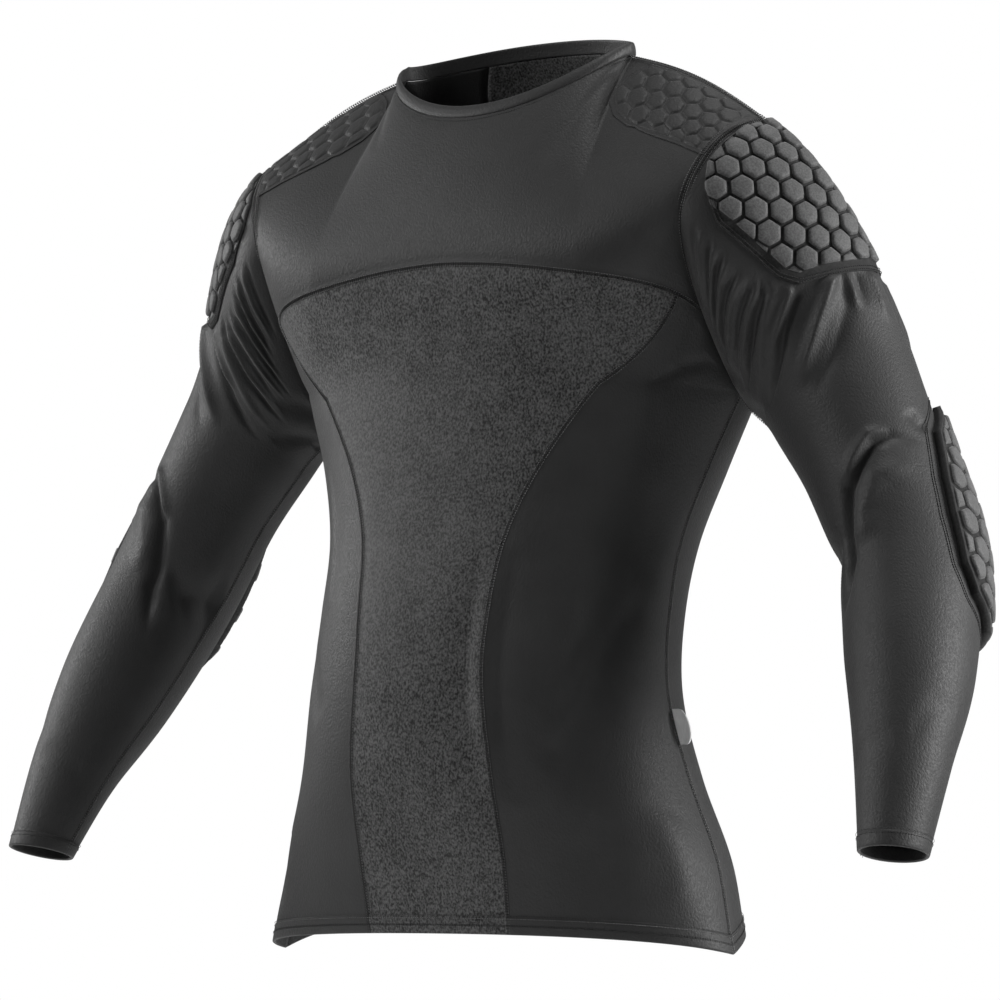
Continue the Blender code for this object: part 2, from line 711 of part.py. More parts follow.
def sleeve_rows():
    cap = [CAP_SHARE * i / CAP_ROWS for i in range(CAP_ROWS + 1)]
    length = sum(
        np.linalg.norm(np.subtract(SLEEVE[i + 1][1:4], SLEEVE[i][1:4])) for i in range(len(SLEEVE) - 1)
    )
    cuff = 1 - (1 - CAP_SHARE) * CUFF_DEPTH / length
    arm = [CAP_SHARE + (cuff - CAP_SHARE) * (i + 1) / ARM_ROWS for i in range(ARM_ROWS)]
    arm[-1] -= CUFF_STITCHES
    return cap + arm + [cuff, 1]


def lengths_along(points):
    """The distance run along a row of points, at each point."""
    steps = [np.linalg.norm(b - a) for a, b in zip(points, points[1:])]
    return np.concatenate(([0], np.cumsum(steps)))


@lru_cache(maxsize=None)
def sleeve_slopes(c, r):
    """How fast a point of the sleeve moves with c and with r."""
    with_c = sleeve_point(c + SLOPE_STEP, r) - sleeve_point(c - SLOPE_STEP, r)
    with_r = sleeve_point(c, r + SLOPE_STEP) - sleeve_point(c, r - SLOPE_STEP)
    return with_c / (2 * SLOPE_STEP), with_r / (2 * SLOPE_STEP)


@lru_cache(maxsize=None)
def laid_place(x, y, middle):
    """Where a place of a flat sheet comes to lie on the sleeve, going straight out from the sheet's middle."""
    c, r = middle
    with_c, with_r = sleeve_slopes(c, r)
    x_way = unit(with_c)
    y_way = unit(with_r - x_way * np.dot(with_r, x_way))
    step = (x_way * x + y_way * y) / WALK_STEPS
    size = np.hypot(x, y) / WALK_STEPS
    if size == 0:
        return middle
    for _ in range(WALK_STEPS):
        with_c, with_r = sleeve_slopes(c, r)
        out = unit(np.cross(with_c, with_r))
        step = unit(step - out * np.dot(step, out)) * size
        square = np.array(((with_c @ with_c, with_c @ with_r), (with_c @ with_r, with_r @ with_r)))
        move = np.linalg.solve(square, np.array((with_c @ step, with_r @ step)))
        c, r = float(c + move[0]), float(r + move[1])
    return c, r


def distance_outside(border, x, y):
    """How far a place lies outside a border, below 0 when it is inside."""
    nearest, inside = np.inf, False
    for (ax, ay), (bx, by) in zip(border, border[1:] + border[:1]):
        run = np.array((bx - ax, by - ay))
        here = np.array((x - ax, y - ay))
        share = min(max(np.dot(here, run) / np.dot(run, run), 0), 1)
        nearest = min(nearest, np.linalg.norm(here - run * share))
        if (ay > y) != (by > y) and x < ax + (y - ay) / (by - ay) * (bx - ax):
            inside = not inside
    return -nearest if inside else nearest


@lru_cache(maxsize=None)
def pad_borders():
    """The borders of the sleeve's two pads, at c and r times the sleeve's reach."""
    borders = []
    for outline, middle in ((CAP_PAD_OUTLINE, CAP_MIDDLE), (ELBOW_PAD_OUTLINE, ELBOW_MIDDLE)):
        places = [laid_place(x, y, middle) for x, y in outline]
        borders.append([(c * SLEEVE_REACH[0], r * SLEEVE_REACH[1]) for c, r in places])
    return borders


def clear_of_pads(c, r):
    """0 under a pad and 1 from a little way outside, so that gathers start at the pad's edge."""
    x, y = c * SLEEVE_REACH[0], r * SLEEVE_REACH[1]
    return step_in(min(distance_outside(border, x, y) for border in pad_borders()), *GATHER_START)


def build_sleeve(side, word):
    """A sleeve in two halves, which meet along the inside of the arm and under the pads on its outside."""
    knit = finish(f"sleeve_knit_{word}", (0.030, 0.030, 0.032), 0.55)
    rows = sleeve_rows()
    top = ARMHOLE_PLACES.index(0.5)
    for half, ends in (("front", ARMHOLE_PLACES[: top + 1]), ("back", ARMHOLE_PLACES[top:])):
        columns = [ends[0]]
        for low, high in zip(ends, ends[1:]):
            columns += [(low + high) / 2, high]
        outer, inner = [], []
        for i, r in enumerate(rows):
            ring, lining = [], []
            for column, c in enumerate(columns):
                p, way = sleeve_point(c, r), sleeve_way(c, r)
                if i == 0:
                    p = p + unit(sleeve_point(c, rows[1]) - p) * SEAM_GAP / 2
                if column in (0, len(columns) - 1):
                    beside = columns[1] if column == 0 else columns[-2]
                    p = p + unit(sleeve_point(beside, r) - p) * SEAM_GAP / 2
                extra = 0
                if 0 < i < len(rows) - 2:
                    extra = fold_height(SLEEVE_FOLDS, c, r, SLEEVE_FOLD_SCALE) * clear_of_pads(c, r)
                if i >= len(rows) - 2:
                    extra = HEM_EXTRA
                ring.append(mirrored(p + way * extra, side))
                if column % 2 == 0:
                    lining.append(mirrored(p - way * CLOTH, side))
            outer.append(ring)
            inner.append(lining)
        wall(f"sleeve_{word}_{half}", np.array(outer), np.array(inner), False, knit)


def hexagons(outline, plan):
    """A flat sheet of hexagons, cut to a convex outline."""
    work = bmesh.new()
    corner = plan.pitch / 3**0.5
    xs = [p[0] for p in outline]
    ys = [p[1] for p in outline]
    middle_x, middle_y = (min(xs) + max(xs)) / 2, (min(ys) + max(ys)) / 2
    reach = max(max(xs) - min(xs), max(ys) - min(ys))
    count = int(reach / (corner * 1.5)) + 2
    for row in range(-count, count + 1):
        for column in range(-count, count + 1):
            along, across = (column + (row % 2) / 2) * plan.pitch, row * corner * 1.5
            x = plan.start[0] + along * cos(plan.turn) - across * sin(plan.turn)
            y = plan.start[1] + along * sin(plan.turn) + across * cos(plan.turn)
            spokes = [k * pi / 3 - plan.turn for k in range(6)]
            work.faces.new([work.verts.new((x + corner * sin(k), y + corner * cos(k), 0)) for k in spokes])
    bmesh.ops.remove_doubles(work, verts=work.verts, dist=plan.pitch * SAME_CORNER)
    for i, (x, y) in enumerate(outline):
        next_x, next_y = outline[(i + 1) % len(outline)]
        edge_out = (next_y - y, -(next_x - x), 0)
        if edge_out[0] * (middle_x - x) + edge_out[1] * (middle_y - y) > 0:
            edge_out = (-edge_out[0], -edge_out[1], 0)
        bmesh.ops.bisect_plane(
            work,
            geom=work.verts[:] + work.edges[:] + work.faces[:],
            plane_co=(x, y, 0),
            plane_no=edge_out,
            clear_outer=True,
        )
    bmesh.ops.remove_doubles(work, verts=work.verts, dist=plan.pitch * SHORT_EDGE)
    work.verts.ensure_lookup_table()
    corners = [(v.co.x, v.co.y) for v in work.verts]
    cells = [[v.index for v in face.verts] for face in work.faces if face.calc_area() > CELL_SLIVER]
    work.free()
    return corners, cells


def build_pad(name, outline, plan, sizes, place, material):
    """A pad of raised hexagons. place(x, y, height) puts a point of the flat sheet on the garment."""
    corners, cells = hexagons(outline, plan)
    whole = plan.pitch**2 * 3**0.5 / 2
    points = [place(x, y, sizes.lift + sizes.base) for x, y in corners]
    points += [place(x, y, sizes.lift) for x, y in corners]
    under = len(corners)
    faces, sides = [], {}
    for cell in cells:
        flat = np.array([corners[k] for k in cell])
        middle = flat.mean(axis=0)
        size = abs(sum(a[0] * b[1] - a[1] * b[0] for a, b in zip(flat, np.roll(flat, -1, axis=0)))) / 2
        high = sizes.base + (sizes.cell - sizes.base) * min(1, size / whole / CELL_FULL_SHARE)
        first = len(points)
        points += [place(*(middle + (p - middle) * CELL_TOP), sizes.lift + high) for p in flat]
        count = len(cell)
        faces.append(tuple(range(first, first + count)))
        below = place(*middle, sizes.lift)
        if np.linalg.norm(below - np.mean([points[under + k] for k in cell], axis=0)) > CELL_BEND:
            centre = len(points)
            points.append(below)
            faces += [(under + cell[i], centre, under + cell[(i + 1) % count]) for i in range(count)]
        else:
            faces.append(tuple(under + k for k in reversed(cell)))
        for i in range(count):
            j = (i + 1) % count
            faces.append((cell[i], cell[j], first + j, first + i))
            sides[cell[i], cell[j]] = True
    for a, b in sides:
        if (b, a) not in sides:
            faces.append((b, a, under + a, under + b))
    used = sorted({k for face in faces for k in face})
    renumber = {k: i for i, k in enumerate(used)}
    faces = [tuple(renumber[k] for k in face) for face in faces]
    cloth_object(name, [points[k] for k in used], faces, material)


def build_shoulder_pads(side, word):
    foam = finish(f"shoulder_foam_{word}", (0.050, 0.050, 0.052), 0.55)
    seam = lengths_along([body_point(s, SHOULDER_SEAM_T, False) for s in np.linspace(NECK_S, 1, SEAM_READINGS)])
    column_s, column_end = SHOULDER_COLUMN
    for back, ending, outline in (
        (False, "", SHOULDER_PAD_OUTLINE),
        (True, "_back", SHOULDER_BACK_OUTLINE),
    ):
        drops = np.linspace(2, column_end, COLUMN_READINGS)
        down = lengths_along([body_point(column_s, t, back) for t in drops])

        def place(x, y, height):
            s = min(NECK_S + (1 - NECK_S) * x / seam[-1], 1)
            t = float(np.interp(y, down, drops))
            way = body_way(s, t, back)
            return mirrored(body_point(s, t, back) + way * height, side)

        build_pad(f"shoulder_pad{ending}_{word}", outline, SHOULDER_CELLS, SHOULDER_PAD, place, foam)


def build_sleeve_pads(side, word):
    foam = finish(f"cap_foam_{word}", (0.110, 0.110, 0.115), 0.45)
    for name, outline, plan, sizes, middle in (
        ("cap_pad", CAP_PAD_OUTLINE, CAP_CELLS, CAP_PAD, CAP_MIDDLE),
        ("elbow_pad", ELBOW_PAD_OUTLINE, ELBOW_CELLS, ELBOW_PAD, ELBOW_MIDDLE),
    ):

        def place(x, y, height):
            c, r = laid_place(float(x), float(y), middle)
            return mirrored(sleeve_point(c, r) + sleeve_way(c, r) * height, side)

        build_pad(f"{name}_{word}", outline, plan, sizes, place, foam)


def build_label():
    """A blank tape, folded double, that stands out of the left side seam in a rounded flap."""
    tape = finish("label_tape", (0.80, 0.80, 0.78), 0.60)
    height = LABEL_HEIGHT / (ARMPIT_Z - HEM_SIDE_Z)
    faces = []
    for y in (-LABEL_THICK / 2, LABEL_THICK / 2):
        face = []
        for i in range(LABEL_ROWS + 1):
            up = 2 * i / LABEL_ROWS - 1
            reach = LABEL_LEAST + (LABEL_REACH - LABEL_LEAST) * (1 - up * up) ** 0.5
            seam = body_point(1, LABEL_T + height * up / 2, False)
            face.append([seam + (LABEL_CLEAR, y, 0), seam + (LABEL_CLEAR + reach, y, 0)])
        faces.append(np.array(face))
    wall("care_label", *faces, False, tape)


build_body()
build_neckband()
for arm_side, arm_word in ((1, "left"), (-1, "right")):
    build_sleeve(arm_side, arm_word)
    build_shoulder_pads(arm_side, arm_word)
    build_sleeve_pads(arm_side, arm_word)
build_label()
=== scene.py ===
"""A padded compression shirt, filled out as it is when worn: cut panels of stretch knit, a folded neckband,
flat seams, hexagon-celled pads and a blank label. Metres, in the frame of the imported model."""

from collections import namedtuple

import bmesh
import bpy
import numpy as np
from mathutils import Matrix


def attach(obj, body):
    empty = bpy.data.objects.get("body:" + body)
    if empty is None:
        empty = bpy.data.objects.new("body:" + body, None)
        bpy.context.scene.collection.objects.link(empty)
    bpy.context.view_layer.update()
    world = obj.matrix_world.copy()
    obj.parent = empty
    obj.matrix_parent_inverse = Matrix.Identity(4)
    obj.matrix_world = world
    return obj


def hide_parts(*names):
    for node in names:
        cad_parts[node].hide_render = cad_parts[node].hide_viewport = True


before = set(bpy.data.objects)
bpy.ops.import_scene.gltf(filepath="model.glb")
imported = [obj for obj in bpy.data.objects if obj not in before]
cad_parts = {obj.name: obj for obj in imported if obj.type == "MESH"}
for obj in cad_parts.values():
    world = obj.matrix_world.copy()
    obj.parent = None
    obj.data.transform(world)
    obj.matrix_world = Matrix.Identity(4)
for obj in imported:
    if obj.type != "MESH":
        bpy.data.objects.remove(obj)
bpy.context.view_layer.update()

# The studio: a dim white room and a pale floor, with four soft lamps: behind the wearer's left, in front at the
# right, at the right and above. The camera stands a little under the chest, turned to the wearer's left.

scene = bpy.context.scene
scene.view_settings.view_transform = "Standard"


def unit(v):
    return v / np.linalg.norm(v, axis=-1, keepdims=True)


def pose(side, over, back, place):
    """The matrix of a camera or lamp that looks away from back."""
    return Matrix([[side[i], over[i], back[i], place[i]] for i in range(3)] + [[0, 0, 0, 1]])


camera_turn, camera_rise, camera_roll = np.radians((32.07, -5.3, 0.5))
camera_distance = 3.6
camera_focus = np.array((0.0, 0.0, -0.34))
camera_aside = (0.0136, 0.0022)
level_right = np.array((np.cos(camera_turn), np.sin(camera_turn), 0))
ahead = np.array((-np.sin(camera_turn), np.cos(camera_turn), 0)) * np.cos(camera_rise)
ahead = ahead - np.array((0, 0, np.sin(camera_rise)))
level_up = np.cross(level_right, ahead)
camera_place = camera_focus - ahead * camera_distance
right = level_right * np.cos(camera_roll) + level_up * np.sin(camera_roll)
up = level_up * np.cos(camera_roll) - level_right * np.sin(camera_roll)
ahead = unit(camera_focus - right * camera_aside[0] - up * camera_aside[1] - camera_place)
right = unit(right - ahead * np.dot(right, ahead))
up = np.cross(right, ahead)
camera = bpy.data.objects.new("camera", bpy.data.cameras.new("camera"))
camera.data.lens = 158.1
camera.data.sensor_width = 36
camera.matrix_world = pose(right, up, -ahead, camera_place)
scene.collection.objects.link(camera)
scene.camera = camera

LAMP_AIM, LAMP_SIZE = (0.05, 0, -0.35), 1.2


def soft_lamp(name, place, watts):
    """A square lamp that faces the shirt."""
    lamp = bpy.data.lights.new(name, "AREA")
    lamp.size = LAMP_SIZE
    lamp.energy = watts
    item = bpy.data.objects.new(name, lamp)
    back = unit(np.subtract(place, LAMP_AIM))
    side = unit(np.cross((0, 0, 1), back))
    item.matrix_world = pose(side, np.cross(back, side), back, place)
    scene.collection.objects.link(item)


soft_lamp("rear_left_lamp", (2.4, 0.9, 0.35), 76)
soft_lamp("front_right_lamp", (-1.6, -2.2, 1.2), 34)
soft_lamp("right_lamp", (-2.5, -0.4, 0.4), 33)
soft_lamp("top_lamp", (0.5, -0.1, 2.4), 27)

room = bpy.data.worlds.new("white_room")
room.use_nodes = True
room_nodes, room_links = room.node_tree.nodes, room.node_tree.links
white_wall = room_nodes["Background"]
white_wall.inputs["Color"].default_value = (1, 1, 1, 1)
dim_air = room_nodes.new("ShaderNodeBackground")
dim_air.inputs["Color"].default_value = (0.96, 0.98, 1, 1)
dim_air.inputs["Strength"].default_value = 0.030
seen = room_nodes.new("ShaderNodeLightPath")
either = room_nodes.new("ShaderNodeMixShader")
room_links.new(seen.outputs["Is Camera Ray"], either.inputs["Fac"])
room_links.new(dim_air.outputs[0], either.inputs[1])
room_links.new(white_wall.outputs[0], either.inputs[2])
room_links.new(either.outputs[0], room_nodes["World Output"].inputs["Surface"])
scene.world = room

FLOOR_Z = -1.25
bpy.ops.mesh.primitive_grid_add(x_subdivisions=2, y_subdivisions=2, size=14, location=(0, 0, FLOOR_Z))
floor = bpy.context.object
floor.name = "floor"

# Finishes. The cloth is a fine stretch knit in charcoal: smooth on the yoke, the sides and the sleeves, and
# flecked on the centre panels. Every finish here is a plain yarn or foam cover, coloured by its nodes.


class Shade:
    """A number or colour that changes over a surface. Arithmetic on it adds nodes to its finish."""

    def __init__(self, finish, socket):
        self.finish = finish
        self.socket = socket

    def number(self, operation, first, second):
        return self.finish.node("ShaderNodeMath", {"operation": operation}, {0: first, 1: second})

    def __add__(self, other):
        return self.number("ADD", self, other)

    def __mul__(self, other):
        return self.number("MULTIPLY", self, other)

    def __sub__(self, other):
        return self.number("SUBTRACT", self, other)

    def __rsub__(self, other):
        return self.number("SUBTRACT", other, self)

    __radd__ = __add__
    __rmul__ = __mul__


class Finish:
    """A material, built up by node() and ended by wear()."""

    def __init__(self, name, roughness, sheen, sheen_roughness):
        self.material = bpy.data.materials.new(name)
        self.material.use_nodes = True
        self.tree = self.material.node_tree
        self.shader = self.tree.nodes["Principled BSDF"]
        self.shader.inputs["Roughness"].default_value = roughness
        self.shader.inputs["Sheen Weight"].default_value = sheen
        self.shader.inputs["Sheen Roughness"].default_value = sheen_roughness
        self.shader.inputs["Specular IOR Level"].default_value = 0.35

    def node(self, kind, settings, inputs, output=0):
        item = self.tree.nodes.new(kind)
        for name, value in settings.items():
            setattr(item, name, value)
        for name, value in inputs.items():
            if isinstance(value, Shade):
                self.tree.links.new(value.socket, item.inputs[name])
            else:
                item.inputs[name].default_value = value
        return Shade(self, item.outputs[output])

    def place(self):
        return self.node("ShaderNodeTexCoord", {}, {}, "Object")

    def noise(self, scale, detail, stretch=(1, 1, 1)):
        where = self.node("ShaderNodeMapping", {}, {"Vector": self.place(), "Scale": stretch})
        return self.node("ShaderNodeTexNoise", {}, {"Vector": where, "Scale": scale, "Detail": detail})

    def spread(self, value, low, high):
        """0 below low and 1 above high."""
        return self.node("ShaderNodeMapRange", {}, {"Value": value, "From Min": low, "From Max": high})

    def mix(self, share, first, second):
        inputs = {0: share, 6: first, 7: second}
        return self.node("ShaderNodeMix", {"data_type": "RGBA"}, inputs, 2)

    def link(self, value, socket):
        self.tree.links.new(value.socket, self.shader.inputs[socket])

    def bump(self, height, strength, distance):
        inputs = {"Height": height, "Strength": strength, "Distance": distance}
        self.link(self.node("ShaderNodeBump", {}, inputs), "Normal")


def grey(value):
    return (value, value, value, 1)


def grained(name, surface, noise, span, tones):
    """A plain finish in two greys, with its grain. span is the grain's reach from the dark to the light grey."""
    finish = Finish(name, *surface)
    grain = finish.noise(*noise)
    share = finish.spread(grain, *span)
    finish.link(finish.mix(share, *map(grey, tones)), "Base Color")
    return finish, grain


def knit_finish(name, dark, light, fleck, sheen, roughness):
    """Knit in two greys. fleck is how far single loops differ from the cloth round them."""
    cloth = Finish(name, roughness, sheen, 0.38)
    loops = cloth.noise(640, 2.0, (1, 1, 0.70))
    reach = 0.16 / max(fleck, 0.2)
    flecks = cloth.spread(loops, 0.5 - reach, 0.5 + reach)
    cloud = cloth.spread(cloth.noise(34, 3), 0.3, 0.7)
    share = flecks * fleck + cloud * 0.22 + (0.5 - fleck * 0.5 - 0.11)
    cloth.link(cloth.mix(share, grey(dark), grey(light)), "Base Color")
    cloth.link(cloth.spread(loops, 0.35, 0.65) * 0.14 + (roughness - 0.07), "Roughness")
    cloth.bump(loops, 0.70, 0.0006)
    return cloth.material


smooth_knit = knit_finish("smooth_knit_cloth", 0.020, 0.044, 0.30, 0.16, 0.56)
heather_knit = knit_finish("heather_knit_cloth", 0.006, 0.125, 1.0, 0.22, 0.66)
band_knit = knit_finish("neckband_cloth", 0.024, 0.046, 0.25, 0.15, 0.52)

# The body of the shirt: five cut panels of knit under an arched yoke, joined edge to edge by flat seams. They
# are shaped by the body inside, which isn't there. The lower edge is turned up once and cover-stitched.

CLOTH = 0.0016
SEAM_GAP = 0.0001
HEM_DEPTH = 0.015
HEM_EXTRA, HEM_ROUND, HEM_BLEND = 0.0007, 0.0011, 0.03
PUCKER_HEIGHT, PUCKER_PITCH = 0.00016, 0.0085
HEM_Z, HEM_BACK_Z, HEM_SIDE_Z, ARMPIT_Z = -0.696, -0.6855, -0.710, -0.262
Section = namedtuple("Section", "z half_width side_y front_y back_y squareness")
BODY = (
    Section(-0.694, 0.2105, -0.0155, -0.113, 0.105, 2.20),
    Section(-0.640, 0.198, -0.012, -0.127, 0.1035, 2.20),
    Section(-0.570, 0.1715, -0.0135, -0.147, 0.0865, 2.25),
    Section(-0.500, 0.157, -0.0225, -0.152, 0.077, 2.25),
    Section(-0.436, 0.152, -0.0105, -0.145, 0.0875, 2.30),
    Section(-0.380, 0.154, 0.004, -0.133, 0.1115, 2.30),
    Section(-0.320, 0.1705, 0.0185, -0.122, 0.1345, 2.30),
    Section(-0.262, 0.1935, 0.0295, -0.116, 0.143, 2.30),
)
Chest = namedtuple("Chest", "half_width middle_y edge_y middle_z edge_z")
CHEST_FRONT = Chest(0.2025, -0.1225, -0.085, -0.150, -0.135)
CHEST_BACK = Chest(0.2055, 0.132, 0.096, -0.140, -0.135)
CHEST_SPREAD, CHEST_ROUND = 0.78, 2.4
ARMPIT_RISE = 0.10
ARMPIT_EDGE_WAY = np.array((0.025, -0.1225, 0.030))
NECK_WAY = np.array((0, 0.052, 0.075))
SHOULDER_WAY = np.array((0.040, 0.14, 0.010))
NECK_HALF, NECK_SIDE_Y, NECK_SIDE_Z, NECK_FALL = 0.109, -0.005, 0.015, 1.55
NECK_FRONT, NECK_BACK = (-0.078, -0.037), (0.048, 0.034)
SHOULDER_TIP, SHOULDER_CROWN = np.array((0.236, -0.009, -0.049)), 0.009
ARMHOLE_MIDDLE, ARMHOLE_LEAN = np.array((0.21, 0.005, -0.155)), 0.45
SHOULDER_RIDGE = np.array((0.15, 0, 1.0))
NECK_S = 0.5
YOKE_MIDDLE_T, YOKE_DROP_T, YOKE_ROUND, PANEL_TOP_S = 1.44, 0.18, 1.6, 0.86
FRONT_SEAM = (
    (0.00, 0.175), (0.12, 0.200), (0.22, 0.218), (0.42, 0.222), (0.58, 0.265),
    (0.69, 0.350), (0.82, 0.505), (0.92, 0.680), (1.00, PANEL_TOP_S),
)
BACK_SEAM = ((0.0, 0.34), (0.5, 0.32), (1.0, 0.36), (1.5, 0.34), (2.0, 0.17))


def hermite(p, p_way, q, q_way, u):
    """The cubic from p to q that leaves along p_way and arrives along q_way."""
    start = p * (1 + 2 * u) * (1 - u) ** 2 + p_way * u * (1 - u) ** 2
    return start + q * u * u * (3 - 2 * u) - q_way * u * u * (1 - u)


class Curve:
    """A smooth curve through the rows of a table, read at values of its first column."""

    def __init__(self, rows):
        self.rows = np.array(rows, float)
        self.slopes = np.gradient(self.rows, self.rows[:, 0], axis=0)

    def __call__(self, x):
        first = self.rows[:, 0]
        i = np.clip(np.searchsorted(first, x) - 1, 0, len(first) - 2)
        step = (first[i + 1] - first[i])[..., None]
        u = (x - first[i])[..., None] / step
        return hermite(self.rows[i], self.slopes[i] * step, self.rows[i + 1], self.slopes[i + 1] * step, u)


body_curve, front_seam_curve, back_seam_curve = Curve(BODY), Curve(FRONT_SEAM), Curve(BACK_SEAM)


def step_in(value, low, high):
    u = np.clip((value - low) / (high - low), 0, 1)
    return u * u * (3 - 2 * u)


def level(s, z, back):
    """Points of the level sections at heights z, s from 0 at the middle to 1 at the side."""
    _, half_width, side_y, front_y, back_y, squareness = np.moveaxis(body_curve(z), -1, 0)
    across = s * np.pi / 2
    x = half_width * np.sin(across) ** (2 / squareness)
    reach = (back_y if back else front_y) - side_y
    y = side_y + reach * np.maximum(np.cos(across), 0) ** (2 / squareness)
    return np.stack((x, y, z), -1)


def top_edge(s, back):
    """The neckline for s up to NECK_S, and then the shoulder seam out to the tip."""
    turn = np.minimum(s / NECK_S, 1) * np.pi / 2
    end_y, end_z = NECK_BACK if back else NECK_FRONT
    fall = np.maximum(np.cos(turn), 0)
    y = NECK_SIDE_Y + (end_y - NECK_SIDE_Y) * fall
    z = NECK_SIDE_Z + (end_z - NECK_SIDE_Z) * fall**NECK_FALL
    neck = np.stack((NECK_HALF * np.sin(turn), y, z), -1)
    u = np.clip((s - NECK_S) / (1 - NECK_S), 0, 1)[..., None]
    neck_point = np.array((NECK_HALF, NECK_SIDE_Y, NECK_SIDE_Z))
    shoulder = neck_point + (SHOULDER_TIP - neck_point) * u + np.sin(np.pi * u) * (0, 0, SHOULDER_CROWN)
    return np.where((s <= NECK_S)[..., None], neck, shoulder)


def body_point(s, t, back):
    """Points of the body's form: s from -1 to 1 across, t 0 at the hem, 1 at the armpits and 2 at the top."""
    s, t = (np.array(v, float) for v in np.broadcast_arrays(s, t))
    a = np.minimum(np.abs(s), 1)
    bottom = HEM_BACK_Z if back else HEM_Z
    bottom = bottom + (HEM_SIDE_Z - bottom) * a ** (4 if back else 2)
    below = level(a, bottom + (ARMPIT_Z - bottom) * np.minimum(t, 1), back)
    chest = CHEST_BACK if back else CHEST_FRONT
    flip = np.array((1, -1, 1)) if back else np.array((1, 1, 1))
    low = level(a, np.full_like(a, ARMPIT_Z), back)
    rise = (low - level(a, np.full_like(a, ARMPIT_Z - 0.001), back)) / 0.001 * ARMPIT_RISE
    middle = np.stack((
        chest.half_width * np.sin(a * np.pi / 2 * CHEST_SPREAD) / np.sin(np.pi / 2 * CHEST_SPREAD),
        chest.middle_y + (chest.edge_y - chest.middle_y) * a**CHEST_ROUND,
        chest.middle_z + (chest.edge_z - chest.middle_z) * a * a,
    ), -1)
    top = top_edge(a, back)
    a3, a6 = (a**3)[..., None], (a**6)[..., None]
    low_way = rise * (1 - a6) + ARMPIT_EDGE_WAY * flip * a6
    top_way = (NECK_WAY * (1 - a3) + SHOULDER_WAY * a3) * flip
    middle_way = (top - low) / 2
    u = np.clip(t - 1, 0, 1)[..., None] * 2
    lower_chest = hermite(low, low_way, middle, middle_way, np.minimum(u, 1))
    upper_chest = hermite(middle, middle_way, top, top_way, np.maximum(u - 1, 0))
    above = np.where(u <= 1, lower_chest, upper_chest)
    point = np.where((t <= 1)[..., None], below, above)
    point[..., 0] *= np.where(s < 0, -1, 1)
    return point


def armhole_way(p):
    """The direction out through the cloth at the left armhole, shared by body and sleeve."""
    spoke = unit((p - ARMHOLE_MIDDLE) * (0, 1, 1))
    return unit(spoke + (ARMHOLE_LEAN, 0, 0))


def body_way(s, t, back):
    """The direction out through the cloth. Panels that meet at a seam share it there."""
    s, t = (np.array(v, float) for v in np.broadcast_arrays(s, t))
    width = np.abs(s)
    a = np.minimum(width, 0.995)
    step = 0.004
    high_t = np.minimum(t + step, 2)
    across = body_point(a + step, t, back) - body_point(np.maximum(a - step, 0), t, back)
    along = body_point(a, high_t, back) - body_point(a, high_t - 2 * step, back)
    way = unit(np.cross(across, along)) * (-1 if back else 1)
    hole = armhole_way(body_point(width, t, back))
    near_hole = step_in(t, 0.9, 1.06)[..., None]
    edge = unit(np.array((1.0, 0, 0)) * (1 - near_hole) + hole * near_hole)
    to_side = step_in(width, 0.86, 1)[..., None]
    way = unit(way * (1 - to_side) + edge * to_side)
    ridge = np.where((width < 0.97)[..., None], unit(SHOULDER_RIDGE), unit(hole + (0.1, 0, 0)))
    to_top = (step_in(t, 1.80, 2) * step_in(width, 0.40, 0.52))[..., None]
    way = unit(way * (1 - to_top) + ridge * to_top)
    way[..., 0] *= np.where(s < 0, -1, 1)
    return way


def yoke_t(s):
    return YOKE_MIDDLE_T - YOKE_DROP_T * np.abs(s) ** YOKE_ROUND


# A crease runs from place 0 to place 1, swings aside by bend and stands up by height at its middle
Crease = namedtuple("Crease", "u0 v0 u1 v1 width height bend")
FRONT_CREASES = (
    Crease(0.27, 0.70, 0.20, 0.24, 0.034, -0.0050, 0.02),
    Crease(0.06, 0.55, 0.20, 0.34, 0.030, -0.0022, 0.01),
    Crease(0.70, 0.66, 0.42, 0.40, 0.015, -0.0034, -0.03),
    Crease(0.66, 0.56, 0.44, 0.34, 0.012, 0.0026, -0.03),
    Crease(0.62, 0.47, 0.40, 0.30, 0.013, -0.0028, -0.02),
    Crease(0.84, 0.62, 0.60, 0.42, 0.013, -0.0022, 0.02),
    Crease(-0.62, 0.55, -0.44, 0.40, 0.014, -0.0026, 0.02),
    Crease(-0.52, 0.86, -0.46, 0.60, 0.007, 0.0018, 0.00),
    Crease(0.55, 0.22, 0.45, 0.03, 0.020, -0.0028, 0.02),
    Crease(0.80, 0.24, 0.72, 0.03, 0.022, 0.0028, -0.02),
    Crease(-0.75, 0.20, -0.68, 0.04, 0.020, -0.0024, 0.02),
    Crease(-0.10, 0.30, 0.02, 0.05, 0.030, -0.0022, 0.02),
    Crease(0.90, 1.12, 0.60, 1.00, 0.010, -0.0020, 0.03),
    Crease(0.92, 1.22, 0.70, 1.08, 0.009, -0.0016, 0.02),
    Crease(-0.90, 1.12, -0.62, 1.00, 0.010, -0.0020, -0.03),
    Crease(0.45, 1.95, 0.32, 1.72, 0.010, -0.0014, 0.02),
    Crease(-0.45, 1.95, -0.36, 1.78, 0.010, -0.0012, -0.02),
)
